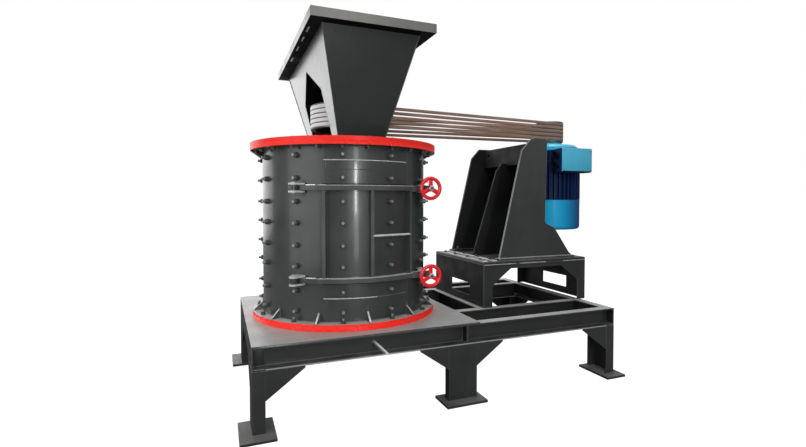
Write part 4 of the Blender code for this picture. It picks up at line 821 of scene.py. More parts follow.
class Graph(Nodes):
    """A Geometry Nodes tree with named inputs for its sizes."""

    def __init__(self, name: str, sizes: dict[str, float], tips: bool = False) -> None:
        """Start a tree that takes a geometry, some sizes and its materials.

        Args:
            name: The tree's name.
            sizes: Its named inputs and the values that they start from.
            tips: Whether the faces marked as tips take a material of their own.
        """
        super().__init__(bpy.data.node_groups.new(name, "GeometryNodeTree"))
        self.tips = tips
        self._socket("Geometry", "Geometry")
        for label, value in sizes.items():
            self._socket(label, "Float").default_value = value
        self._socket("Material", "Material")
        if tips:
            self._socket("Tip Material", "Material")
        self._socket("Geometry", "Geometry", "OUTPUT")
        self.inputs = self.node("NodeGroupInput").outputs
        self.output = self.node("NodeGroupOutput").inputs[0]

    def _socket(self, name: str, kind: str,
                side: str = "INPUT") -> bpy.types.NodeTreeInterfaceSocket:
        """Give the tree an input or an output."""
        return self.tree.interface.new_socket(name, in_out=side, socket_type=f"NodeSocket{kind}")

    def chance(self, low: float, high: float, seed: int) -> bpy.types.NodeSocket:
        """Draw a random number for each element.

        Args:
            low: The least number.
            high: The greatest number.
            seed: The fixed seed.

        Returns:
            The number.
        """
        node = self.node("FunctionNodeRandomValue", data_type="FLOAT")
        for index, value in ((2, low), (3, high)):
            node.inputs[index].default_value = value
        node.inputs["Seed"].default_value = seed
        return node.outputs[1]

    def lifted(self, part: bpy.types.NodeSocket,
               height: bpy.types.NodeSocket) -> bpy.types.NodeSocket:
        """Move a part up by a height."""
        rise = self.step("ShaderNodeCombineXYZ", z=height)
        return self.step("GeometryNodeTransform", geometry=part, translation=rise)

    def finish(self, geometry: bpy.types.NodeSocket) -> None:
        """End the tree in real meshes with their material.

        Args:
            geometry: What the tree has made.
        """
        dressed = self.step("GeometryNodeSetMaterial", material=self.inputs["Material"],
                            geometry=self.step("GeometryNodeRealizeInstances", geometry=geometry))
        if self.tips:
            tip = self.step("GeometryNodeInputNamedAttribute", {"data_type": "BOOLEAN"}, name="tip")
            dressed = self.step("GeometryNodeSetMaterial", geometry=dressed, selection=tip,
                                material=self.inputs["Tip Material"])
        self.feed(self.output, dressed)

    def apply(self, mesh: bpy.types.Mesh, name: str, finish: Finish, body: str,
              sizes: dict[str, float]) -> bpy.types.Object:
        """Run the tree on a mesh and enter the result as a piece.

        Args:
            mesh: What the tree works on.
            name: The piece's name.
            finish: Its finish.
            body: The body that it moves with.
            sizes: Values for the tree's named inputs.

        Returns:
            The piece.
        """
        item = placed(name, mesh)
        modifier = item.modifiers.new("repeat", "NODES")
        modifier.node_group = self.tree
        values = {**sizes, "Material": finish.material, "Tip Material": Finish.TIP.material}
        for socket in self.tree.interface.items_tree:
            if socket.in_out == "INPUT" and socket.name in values:
                modifier[socket.identifier] = values[socket.name]
        return enter(name, settled(item), body, finish.slot)


@dataclass(frozen=True)
class Fastener:
    """The sizes of a nut on a stud, or of a bolt's head, in metres."""

    nut: float
    height: float
    stud: float
    reach: float
    washer: float
    washer_height: float = 0.004

    def sizes(self) -> dict[str, float]:
        """Name the sizes as the tree's inputs do.

        Returns:
            The values for the inputs.
        """
        return {"Nut Radius": self.nut, "Nut Height": self.height, "Stud Radius": self.stud,
                "Stud Reach": self.reach, "Washer Radius": self.washer,
                "Washer Height": self.washer_height}


class Size(Enum):
    """The fasteners on the machine."""

    SHELL = Fastener(0.0185, 0.018, 0.0100, 0.038, 0.0205, 0.004)
    FLANGE = Fastener(0.0155, 0.014, 0.0085, 0.030, 0.0180)
    COVER = Fastener(0.0145, 0.011, 0.0080, 0.016, 0.0165, 0.003)
    LID = Fastener(0.0130, 0.0035, 0.0060, 0.0035, 0.0145, 0.0010)
    SMALL = Fastener(0.0105, 0.009, 0.0060, 0.009, 0.0125, 0.002)
    SCREW = Fastener(0.0065, 0.005, 0.0040, 0.005, 0.0080, 0.0015)
    MEDIUM = Fastener(0.0150, 0.013, 0.0085, 0.024, 0.0175, 0.003)


class Fasteners:
    """Bolts and nuts, gathered by body, size and finish, and set out by one tree."""

    TWIST_SEED = 7
    WASHER_SIDES, NUT_SIDES, STUD_SIDES, CROWN_SIDES = 18, 6, 10, 12
    CROWN_HEIGHT = 0.0025
    CROWN_TOP, CROWN_FOOT = 0.70, 0.86

    def __init__(self) -> None:
        """Draw the tree."""
        self.spots: dict[tuple[str, str, Size, Finish], list[tuple[Vector, Vector]]] = {}
        self.graph = Graph("fasteners", Size.SHELL.value.sizes(), tips=True)
        graph, sizes = self.graph, self.graph.inputs
        washer = self._disc(self.WASHER_SIDES, "Washer Radius", "Washer Height", 0.0)
        seat = sizes["Washer Height"]
        nut = self._disc(self.NUT_SIDES, "Nut Radius", "Nut Height", seat)
        stud = self._disc(self.STUD_SIDES, "Stud Radius", "Stud Reach", seat)
        stud = graph.step("GeometryNodeStoreNamedAttribute",
                          {"data_type": "BOOLEAN", "domain": "FACE"},
                          geometry=stud, name="tip", value=True)
        join = graph.node("GeometryNodeJoinGeometry")
        for part in (washer, nut, self._crown(), stud):
            graph.feed(join.inputs[0], part)
        aim = graph.step("GeometryNodeInputNamedAttribute", {"data_type": "FLOAT_VECTOR"},
                         name="aim")
        turn = graph.step("FunctionNodeAlignRotationToVector", {"axis": "Z"}, vector=aim)
        stood = graph.step("GeometryNodeInstanceOnPoints", points=sizes["Geometry"],
                           instance=join.outputs[0], rotation=turn)
        twist = graph.step("ShaderNodeCombineXYZ", z=graph.chance(0.0, 1.0, self.TWIST_SEED))
        graph.finish(graph.step("GeometryNodeRotateInstances", instances=stood, rotation=twist))

    def _disc(self, sides: int, radius: str, height: str,
              base: bpy.types.NodeSocket | float) -> bpy.types.NodeSocket:
        """Stand a prism on the plate or on the washer.

        Args:
            sides: How many sides it has.
            radius: The input that gives its radius.
            height: The input that gives its height.
            base: The height of its foot.

        Returns:
            The prism.
        """
        graph, sizes = self.graph, self.graph.inputs
        body = graph.step("GeometryNodeMeshCylinder", vertices=sides, radius=sizes[radius],
                          depth=sizes[height])
        return graph.lifted(body, graph.math("MULTIPLY_ADD", sizes[height], 0.5, base))

    def _crown(self) -> bpy.types.NodeSocket:
        """Draw the low cone on top of the nut that stands for its chamfer.

        Returns:
            The cone, in place.
        """
        graph, sizes = self.graph, self.graph.inputs
        cone = graph.step("GeometryNodeMeshCone", vertices=self.CROWN_SIDES,
                          depth=self.CROWN_HEIGHT,
                          radius_top=graph.math("MULTIPLY", sizes["Nut Radius"], self.CROWN_TOP),
                          radius_bottom=graph.math("MULTIPLY", sizes["Nut Radius"],
                                                   self.CROWN_FOOT))
        return graph.lifted(cone, graph.math("ADD", sizes["Nut Height"], sizes["Washer Height"]))

    def add(self, group: str, body: str, size: Size, spot: Vector, aim: Vector,
            finish: Finish = Finish.BOLT) -> None:
        """Note a fastener of a group: its body, its size, its seat and the way off its plate."""
        self.spots.setdefault((group, body, size, finish), []).append((Vector(spot), Vector(aim)))

    def build(self) -> None:
        """Set out every fastener noted so far."""
        for (group, body, size, finish), spots in self.spots.items():
            mesh = bpy.data.meshes.new(group)
            mesh.from_pydata([tuple(spot) for spot, _ in spots], [], [])
            aims = mesh.attributes.new("aim", "FLOAT_VECTOR", "POINT")
            aims.data.foreach_set("vector", [value for _, aim in spots for value in aim])
            self.graph.apply(mesh, group, finish, body, size.value.sizes())


class Welds:
    """Weld beads laid along the joints of the plate work."""

    SIZES = {"Bead Radius": 0.0035, "Step": 0.010}
    SWELL = (0.8, 1.2)
    SWELL_SEED = 3
    SIDES = 7

    def __init__(self) -> None:
        """Draw the tree: a rippled bead along each line."""
        self.lines: dict[tuple[str, str, Finish], list[list[Sequence[float]]]] = {}
        self.graph = Graph("weld_bead", self.SIZES)
        graph, sizes = self.graph, self.graph.inputs
        line = graph.step("GeometryNodeMeshToCurve", mesh=sizes["Geometry"])
        even = graph.step("GeometryNodeResampleCurve", {"mode": "LENGTH"}, curve=line,
                          length=sizes["Step"])
        swell = graph.chance(*self.SWELL, self.SWELL_SEED)
        ring = graph.step("GeometryNodeCurvePrimitiveCircle", resolution=self.SIDES,
                          radius=sizes["Bead Radius"])
        bead = graph.step("GeometryNodeCurveToMesh", profile_curve=ring, fill_caps=True,
                          curve=graph.step("GeometryNodeSetCurveRadius", curve=even,
                                           radius=swell),
                          scale=swell)
        graph.finish(graph.step("GeometryNodeSetShadeSmooth", geometry=bead))

    def add(self, group: str, points: Sequence[Sequence[float]], body: str = "machine",
            finish: Finish = Finish.WELD) -> None:
        """Note a bead of a group, through some points."""
        self.lines.setdefault((group, body, finish), []).append(list(points))

    def build(self) -> None:
        """Lay every bead noted so far."""
        for (group, body, finish), lines in self.lines.items():
            points: list[Point] = []
            edges: list[tuple[int, int]] = []
            for line in lines:
                start = len(points)
                points += [tuple(point) for point in line]
                edges += [(start + step, start + step + 1) for step in range(len(line) - 1)]
            mesh = bpy.data.meshes.new(group)
            mesh.from_pydata(points, edges, [])
            self.graph.apply(mesh, group, finish, body, self.SIZES)


# Sub-assemblies


@dataclass
class BaseFrame:
    """The beams, the deck and the legs."""

    welds: Welds
    beams: tuple[str, ...] = ("front_beam", "back_beam", "left_beam", "right_beam",
                              "deck_edge_beam", "table_cross_beam", "front_stand_beam",
                              "back_stand_beam")
    legs: tuple[str, ...] = ("leg_front_left", "leg_front_middle", "leg_front_right",
                             "leg_back_left", "leg_back_middle", "leg_back_right")
    foot_thickness: float = 0.018
    foot_top: float = 0.03
    foot_set: float = 0.075
    middle_foot: float = 0.109
    left_foot: tuple[float, float] = (0.073, 0.150)
    right_foot: tuple[float, float] = (0.127, 0.050)
    flange: float = 0.007
    plate: float = 0.008
    plate_set: float = 0.070
    web_set: float = 0.0685
    toe: float = 0.012
    long_beam: float = 1.0

    def build(self) -> None:
        """Dress the whole base."""
        for beam in self.beams:
            Skin(beam, Finish.BASE, Finish.EDGE_HIGHLIGHT, 0.0022, rule=self._beam_rule(beam)).build()
        for leg in self.legs:
            Skin(leg, Finish.BASE, Finish.EDGE_HIGHLIGHT, 0.0020, rule=self._leg_rule).build()
            self._foot_weld(leg)
        drum = Axis.of("top_flange")
        Skin("deck_plate", Finish.DECK, Finish.EDGE_HIGHLIGHT, 0.0015, axis=drum, radii=(0.5,),
             rule=self._deck_rule).build()
        self._long_welds()
        self._corner_plates()

    def _corner_plates(self) -> None:
        """Plates that close the open ends of the side beams, in line with the long beams' webs."""
        plates = Mesher()
        skim, weld_in = 0.001, 0.003
        for beam, near, far in (("left_beam", self.flange, skim),
                                ("right_beam", -skim, -self.flange)):
            low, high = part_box(beam)
            start, end = low[0] + near, high[0] + far
            for y, side in ((low[1] + self.plate_set, 1.0), (high[1] - self.plate_set, -1.0)):
                ys = sorted((y, y + side * self.plate))
                plates.block((start, ys[0], low[2] + self.flange),
                             (end, ys[1], high[2] - self.flange), Finish.BASE)
                out = y - side * skim
                for z in (low[2] + self.flange + weld_in, high[2] - self.flange - weld_in):
                    self.welds.add("corner_welds", [(start + weld_in, out, z),
                                                    (end - weld_in, out, z)])
        plates.piece("corner_plates", "machine")

    @staticmethod
    def _deck_rule(face: bmesh.types.BMFace) -> Finish | None:
        """The deck's top is pale as a painted reflection, and dark at its edges and below."""
        return None if face.normal.z > FACING else Finish.DARK

    def _beam_rule(self, beam: str) -> FaceRule:
        """Painted highlight on a beam's top and lower flange edge, painted shade on its -X faces.

        Args:
            beam: The beam's node.

        Returns:
            The rule.
        """
        low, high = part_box(beam)
        long = high[0] - low[0] > self.long_beam
        skim, top = 0.001, high[2] - 0.003

        def rule(face: bmesh.types.BMFace) -> Finish | None:
            """Painted highlight on top and on the lower flange's edge; painted shade on -X faces.

            Args:
                face: A face of the skin.

            Returns:
                Its finish, or nothing for the skin's own.
            """
            spot = face.calc_center_median()
            if face.normal.z > FACING and spot.z > top:
                return Finish.HIGHLIGHT
            if face.normal.x < -FACING:
                return Finish.SHADE_DARK
            edge = abs(face.normal.y) > FACING and spot.z < low[2] + self.toe
            outer = spot.y < low[1] + skim or spot.y > high[1] - skim
            return Finish.HIGHLIGHT if edge and outer and long else None
        return rule

    def _leg_rule(self, face: bmesh.types.BMFace) -> Finish | None:
        """The foot plates are lighter on top, and the legs' -X faces carry painted shade.

        Args:
            face: A face of the skin.

        Returns:
            Its finish, or nothing for the skin's own.
        """
        if face.normal.z > FACING and face.calc_center_median().z < self.foot_top:
            return Finish.LIGHTER
        return Finish.SHADE_DARK if face.normal.x < -FACING else None

    def _foot_weld(self, leg: str) -> None:
        """A bead along the foot of a leg's outer face.

        Args:
            leg: The leg's node.
        """
        low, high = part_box(leg)
        skim = 0.002
        y = low[1] + self.foot_set - skim if low[1] < 0 else high[1] - self.foot_set + skim
        centre = (low[0] + high[0]) / 2
        if "middle" in leg:
            xs = (centre - self.middle_foot, centre + self.middle_foot)
        elif centre < 0:
            xs = (low[0] + self.left_foot[0], low[0] + self.left_foot[1])
        else:
            xs = (high[0] - self.right_foot[0], high[0] - self.right_foot[1])
        z = self.foot_thickness + skim
        self.welds.add("foot_welds", [(xs[0], y, z), (xs[1], y, z)])

    def _long_welds(self) -> None:
        """Beads along the long beams, where their webs meet the flanges."""
        short = 0.004
        for beam in ("front_beam", "back_beam"):
            low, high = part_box(beam)
            y = low[1] + self.web_set if beam == "front_beam" else high[1] - self.web_set
            for z in (low[2] + self.toe, high[2] - self.toe):
                self.welds.add("base_welds", [(low[0] + short, y, z), (high[0] - short, y, z)])


@dataclass
class Drum:
    """The crushing drum: wall, flanges, lid and their bolts."""

    bolts: Fasteners
    welds: Welds
    axis: Axis = field(default_factory=lambda: Axis.of("top_flange"))
    wall: float = 0.620
    chamber: float = 0.575
    rows: tuple[float, ...] = (1.707, 1.555, 1.397, 1.252, 1.103, 0.963, 0.798, 0.662)
    door_rows: tuple[float, ...] = (1.397, 1.252, 1.103, 0.963)
    pad: float = 0.006
    slack: float = 0.004
    pad_edges: tuple[Point, ...] = ((1.6722, -27.0, 29.0), (0.7498, -27.0, 6.0))
    foot_circle: float = 0.660
    lid_circle: float = 0.664
    lid_bolts: int = 24
    door_half: float = 20.0
    grease_front: float = -0.45
    gussets: int = 12
    gusset_reach: float = 0.690
    gusset_height: float = 0.088
    gusset_half: float = 0.42

    def build(self) -> None:
        """Dress the drum."""
        radii = (self.chamber, self.wall, self.wall + self.pad)
        for node in ("shell_left_front", "shell_left_back", "shell_right_front",
                     "shell_right_back", "shell_over_door", "shell_under_door"):
            Skin(node, Finish.DARK, Finish.EDGE_HIGHLIGHT, 0.0018, axis=self.axis, radii=radii,
                 rule=self._wall_rule).build()
        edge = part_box("bottom_flange")[1][0] - self.axis.x
        # The ring's rounded edges take a pale painted highlight.
        Skin("bottom_flange", Finish.DARK, Finish.HIGHLIGHT, 0.0015, axis=self.axis,
             radii=(self.chamber, edge), rule=self._bottom_rule(edge)).build()
        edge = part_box("top_flange")[1][0] - self.axis.x
        Skin("top_flange", Finish.DARK, Finish.DARK, 0.0012, axis=self.axis,
             radii=(self.chamber, edge), rule=self._flange_rule(edge)).build()
        Skin("cover_plate", Finish.DARK, Finish.RED, 0.0015, axis=self.axis, radii=(edge,),
             rule=self._flange_rule(edge)).build()
        # The upper bearing is painted black as shade under the pulley.
        Skin("upper_bearing", Finish.BLACK_AND_SHADE, None, 0.002, axis=self.axis, facets=32,
             steps=96).build()
        Skin("bottom_bearing", Finish.CAST, None, 0.002, rule=self._grease_rule).build()
        self._wall_bolts()
        self._flange_bolts()
        self._welds()

    def _wall_rule(self, face: bmesh.types.BMFace) -> Finish | None:
        """Bare worn liner inside, silver hinge lugs, and painted highlights on the pads' tops.

        Args:
            face: A face of the skin.

        Returns:
            Its finish, or nothing for the skin's own.
        """
        spot = face.calc_center_median()
        radius = self.axis.radius(spot)
        if radius < self.chamber + self.slack:
            return Finish.WEAR
        if radius > self.wall + self.pad + self.slack:
            return Finish.SILVER_AND_HIGHLIGHT
        return Finish.HIGHLIGHT if radius > self.wall + 0.001 and face.normal.z > 0.7 else None

    def _bottom_rule(self, edge: float) -> FaceRule:
        """Red rim on the lower ring, and painted reflections on its top and on the gusset slopes.

        Args:
            edge: The ring's radius.

        Returns:
            The rule.
        """
        rim = self._flange_rule(edge)

        def rule(face: bmesh.types.BMFace) -> Finish | None:
            """Red on the rim; painted reflections in pale and silver where the face looks up.

            Args:
                face: A face of the skin.

            Returns:
                Its finish, or nothing for the skin's own.
            """
            if face.normal.z > 0.15:
                return Finish.HIGHLIGHT if face.normal.z > 0.95 else Finish.SILVER_AND_HIGHLIGHT
            return rim(face)
        return rule

    def _grease_rule(self, face: bmesh.types.BMFace) -> Finish | None:
        """The grease pipe is bright where it comes out at the front."""
        return Finish.SILVER_AND_HIGHLIGHT if face.calc_center_median().y < self.grease_front else None

    def _flange_rule(self, edge: float) -> FaceRule:
        """A flange is red on its outer edge.

        Args:
            edge: The flange's radius.

        Returns:
            The rule.
        """
        def rule(face: bmesh.types.BMFace) -> Finish | None:
            """Red where the face stands on the rim.

            Args:
                face: A face of the skin.

            Returns:
                Its finish, or nothing for the skin's own.
            """
            spot = face.calc_center_median()
            rim = self.axis.radius(spot) > edge - 0.002 and abs(face.normal.z) < FACING
            return Finish.RED if rim else None
        return rule

    def _wall_bolts(self) -> None:
        """Columns of liner bolts between the gussets, on the wall and on the door."""
        for angle in self._columns():
            on_door_side = min(angle, 360.0 - angle) < self.door_half
            for height in self.rows:
                on_door = on_door_side and height in self.door_rows
                group, body = ("door_bolts", "door") if on_door else ("wall_bolts", "machine")
                self.bolts.add(group, body, Size.SHELL, self.axis.at(angle, self.wall, height),
                               self.axis.outward(angle))

    def _columns(self) -> list[float]:
        """The angles midway between the gussets."""
        return [360.0 / self.gussets * (step + 0.5) for step in range(self.gussets)]

    def _flange_bolts(self) -> None:
        """Bolts down through the bottom flange, and through the lid and the top flange."""
        base_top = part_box("shell_left_front")[0][2]
        top_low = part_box("shell_left_front")[1][2]
        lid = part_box("cover_plate")[1][2]
        up, down = Vector((0, 0, 1)), Vector((0, 0, -1))
        for angle in self._columns():
            self.bolts.add("bottom_flange_bolts", "machine", Size.FLANGE,
                           self.axis.at(angle, self.foot_circle, base_top), up)
        for step in range(self.lid_bolts):
            angle = 360.0 / self.lid_bolts * step
            self.bolts.add("top_flange_nuts", "machine", Size.COVER,
                           self.axis.at(angle, self.lid_circle, top_low), down)
            self.bolts.add("cover_bolts", "machine", Size.LID,
                           self.axis.at(angle, self.lid_circle, lid), up)

    def _ring(self, radius: float, height: float, start: float, end: float) -> list[Vector]:
        """Points along an arc round the drum.

        Args:
            radius: Its radius.
            height: Its height.
            start: The angle where it starts.
            end: The angle where it ends.

        Returns:
            The points, about three degrees apart.
        """
        count = max(2, int(abs(end - start) / 3))
        return [self.axis.at(start + (end - start) * step / count, radius, height)
                for step in range(count + 1)]

    def _welds(self) -> None:
        """Beads round the wall's foot and head, along the pads and up the gussets' sides."""
        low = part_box("shell_left_front")[0][2]
        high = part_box("shell_left_front")[1][2]
        skim, sunk = 0.002, 0.001
        for height in (low + skim, high - skim):
            self.welds.add("drum_welds", self._ring(self.wall + skim, height, 0, 360))
        # Silver beads along the pads' edges: a painted highlight.
        for height, start, end in self.pad_edges:
            self.welds.add("pad_welds",
                           self._ring(self.wall + self.pad + sunk, height, start, end),
                           finish=Finish.SILVER_AND_HIGHLIGHT)
        for step in range(self.gussets):
            for side in (-self.gusset_half, self.gusset_half):
                angle = 360.0 / self.gussets * step + side
                self.welds.add("drum_welds", [
                    self.axis.at(angle, self.gusset_reach, low + sunk),
                    self.axis.at(angle, self.wall + skim, low + sunk),
                    self.axis.at(angle, self.wall + sunk, low + self.gusset_height)])


@dataclass
class Door:
    """The hinged door with its clamps."""

    bolts: Fasteners
    welds: Welds
    axis: Axis = field(default_factory=lambda: Axis.of("top_flange"))
    hinge_angle: float = -43.0
    hinge_radius: float = 0.690
    hinge_half: float = 0.0445
    rails: tuple[float, float] = (0.8725, 1.4875)
    rail_top: float = 0.0155
    rail_edge: float = 0.6665
    arm: float = 0.651
    arm_plates: tuple[Point, ...] = ((-36.5, -30.5, 0.006), (-28.5, -24.5, 0.005))
    grip: float = 1.166
    grip_half: float = 0.0090
    nut_face: float = 0.572
    radii: tuple[float, ...] = (0.575, 0.620, 0.6365, 0.666, 0.668, 0.670)
    liner: float = 0.579
    panel: float = 0.626
    ribs: float = 0.655
    arm_end: float = -30.0

    def build(self) -> None:
        """Dress the door, its hinges and its clamps."""
        # Pale rounded edges on the door: a painted highlight.
        Skin("door_panel", Finish.DARK, Finish.HIGHLIGHT, 0.0014, body="door", axis=self.axis,
             radii=self.radii, rule=self._rule).build()
        for height in self.rails:
            # Pale beads along the rails' top edges: a painted highlight.
            arc = [self.axis.at(self.arm_end + 2.0 * step, self.rail_edge, height + self.rail_top)
                   for step in range(32)]
            self.welds.add("rail_edges", arc, "door", Finish.HIGHLIGHT)
        for name, height in zip(("lower", "upper"), self.rails):
            self._hinge(name, height)
            self._wheel(name)

    def _rule(self, face: bmesh.types.BMFace) -> Finish | None:
        """Worn liner inside, a silver handle, and painted reflections on the arms, rails and ribs.

        Args:
            face: A face of the skin.

        Returns:
            Its finish, or nothing for the skin's own.
        """
        spot = face.calc_center_median()
        radius = self.axis.radius(spot)
        if radius < self.liner:
            return Finish.WEAR
        if radius < self.panel:
            return None
        if all(abs(vert.co.z - self.grip) < self.grip_half for vert in face.verts):
            return Finish.SILVER_AND_HIGHLIGHT
        if self.axis.angle(spot) < self.arm_end:
            return Finish.SILVER_AND_HIGHLIGHT if abs(face.normal.z) > 0.7 else None
        if face.normal.z > 0.7:
            return Finish.SILVER_AND_HIGHLIGHT
        front = face.normal.dot(self.axis.outward(self.axis.angle(spot))) > 0.8
        return Finish.LIGHTER if front and radius > self.ribs else None

    def _hinge(self, name: str, height: float) -> None:
        """The pin's heads and the bright plates along the arm.

        Args:
            name: Which hinge it is.
            height: Its middle.
        """
        pin = self.axis.at(self.hinge_angle, self.hinge_radius, height)
        head_radius, head_height = 0.013, 0.006
        fixed = Mesher()
        for side in (-1, 1):
            base = pin + Vector((0, 0, side * self.hinge_half))
            fixed.rod(base, base + Vector((0, 0, side * head_height)), head_radius, Finish.BOLT, 6)
        fixed.piece(f"{name}_hinge_heads", "machine")
        moving = Mesher()
        for start, end, thick in self.arm_plates:
            self._plate(moving, start, end, height + self.rail_top, thick)
        moving.piece(f"{name}_hinge_plates", "door")

    def _plate(self, mesher: Mesher, start: float, end: float, low: float, thick: float) -> None:
        """A bright curved plate on top of the arm, in four short lengths.

        Args:
            mesher: What it is drawn into.
            start: The angle where it starts.
            end: The angle where it ends.
            low: The height of its underside.
            thick: Its thickness.
        """
        count, half_width, outer = 4, 0.014, 0.67
        for step in range(count):
            first = start + (end - start) * step / count
            middle = first + (end - start) / count / 2
            centre = self.axis.at(middle, self.arm, low + thick / 2)
            half = math.radians(abs(end - start) / count / 2) * outer
            turn = Matrix.Translation(centre) @ Matrix.Rotation(math.radians(middle), 4, "Z")
            mesher.block((-half, -half_width, -thick / 2), (half, half_width, thick / 2),
                         Finish.BRIGHT, turn, 0.0008)

    def _wheel(self, name: str) -> None:
        """A clamp's handwheel: round rim, flat spokes, steel hub and bright screw.

        Args:
            name: Which wheel it is.
        """
        low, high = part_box(f"handwheel_{name}")
        radius = (high[0] - low[0]) / 2
        rim, hub_set = 0.0130, 0.024
        spoke_half, spoke_thick, spoke_foot = 0.0150, 0.0060, 0.014
        hub = [(0.0, -0.021), (0.014, -0.021), (0.0195, -0.016), (0.0195, 0.018),
               (0.015, 0.0235), (0.0, 0.0235)]
        centre = Vector(((low[0] + high[0]) / 2, low[1] + hub_set, (low[2] + high[2]) / 2))
        place = Matrix.Translation(centre) @ Matrix.Rotation(math.pi / 2, 4, "X")
        wheel = Mesher()
        ring = []
        for step in range(13):
            turn = math.tau * step / 12
            ring.append((radius - rim + rim * math.cos(turn), rim * math.sin(turn)))
        wheel.turned(ring, place, Finish.WHEEL_RED, 64)
        for step in range(3):
            spin = place @ Matrix.Rotation(math.radians(90 + 120 * step), 4, "Z")
            wheel.block((spoke_foot, -spoke_half, -spoke_thick),
                        (radius - rim, spoke_half, spoke_thick), Finish.WHEEL_RED, spin, 0.003)
        wheel.turned(hub, place, Finish.STEEL, 32)
        wheel.rod(centre + Vector((0, -0.0235, 0)), centre + Vector((0, -0.0115, 0)), 0.0075,
                  Finish.BRIGHT, 16)
        wheel.rod(centre, (centre.x, self.axis.y - self.nut_face, centre.z), 0.0148,
                  Finish.STEEL, 24)
        wheel.rod(centre, (centre.x, high[1], centre.z), 0.0088, Finish.BRIGHT, 20)
        item = wheel.piece(f"handwheel_{name}_fine", f"{name}_wheel")
        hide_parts(f"handwheel_{name}")


@dataclass
class Hopper:
    """The feed hopper with its rim and the belt tunnel."""

    welds: Welds
    axis: Axis = field(default_factory=lambda: Axis.of("top_flange"))
    ledge: float = 2.51
    tunnel_middle: float = 2.0
    slots: tuple[float, ...] = (-0.5225, -0.3225, -0.0925, 0.1975)
    slot_half: float = 0.050
    slot_span: tuple[float, float] = (0.022, 0.032)
    foot: tuple[float, float] = (0.165, 0.490)
    head: tuple[float, float] = (0.325, 0.754)

    def build(self) -> None:
        """Dress the hopper."""
        Skin("hopper_rim", Finish.HOPPER, Finish.EDGE_HIGHLIGHT, 0.0018, rule=self._rim_rule).build()
        self._rim_slots()
        for side in ("front", "back", "left", "right"):
            Skin(f"hopper_{side}_wall", Finish.HOPPER, Finish.EDGE_HIGHLIGHT, 0.0012).build()
        Skin("belt_tunnel", Finish.HOPPER, Finish.EDGE_HIGHLIGHT, 0.0012, rule=self._tunnel_rule).build()
        self._corner_welds()

    def _rim_rule(self, face: bmesh.types.BMFace) -> Finish | None:
        """The rim has painted shade in black below and a painted highlight on its standing faces.

        Args:
            face: A face of the skin.

        Returns:
            Its finish, or nothing for the skin's own.
        """
        if face.normal.z < -FACING:
            return Finish.BLACK_AND_SHADE
        outer = abs(face.normal.z) < 0.3 and face.calc_center_median().z > self.ledge
        return Finish.RIM_HIGHLIGHT if outer else None

    def _rim_slots(self) -> None:
        """The slots under the rim's left side, bright with the light that falls through."""
        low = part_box("hopper_rim")[0]
        slots = Mesher()
        for y in self.slots:
            slots.block((low[0] + self.slot_span[0], y - self.slot_half, low[2] - 0.0015),
                        (low[0] + self.slot_span[1], y + self.slot_half, low[2] + 0.0010),
                        Finish.SILVER_AND_HIGHLIGHT, bevel=0.0)
        slots.piece("rim_slots", "machine")

    def _tunnel_rule(self, face: bmesh.types.BMFace) -> Finish | None:
        """The tunnel's inside faces are painted black as shade.

        Args:
            face: A face of the skin.

        Returns:
            Its finish, or nothing for the skin's own.
        """
        middle = Vector((0.0, self.axis.y, self.tunnel_middle))
        inward = (middle - face.calc_center_median()) * Vector((0.0, 1.0, 1.0))
        return Finish.BLACK_AND_SHADE if face.normal.dot(inward) > 0 and abs(face.normal.x) < FACING else None

    def _corner_welds(self) -> None:
        """Beads down the four sloping corners and along the foot."""
        low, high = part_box("hopper_front_wall")
        skim = 0.003
        for x_side in (-1, 1):
            for y_side in (-1, 1):
                self.welds.add("hopper_welds", [
                    self._corner(x_side, y_side, self.foot, low[2] + skim),
                    self._corner(x_side, y_side, self.head, high[2] - skim)])
        for y_side in (-1, 1):
            self.welds.add("hopper_welds", [
                self._corner(x_side, y_side, self.foot, low[2] + skim) for x_side in (-1, 1)])

    def _corner(self, x_side: int, y_side: int, half: tuple[float, float],
                height: float) -> Point:
        """A corner of the hopper, by its sides, its half widths and its height."""
        return self.axis.x + x_side * half[0], self.axis.y + y_side * half[1], height


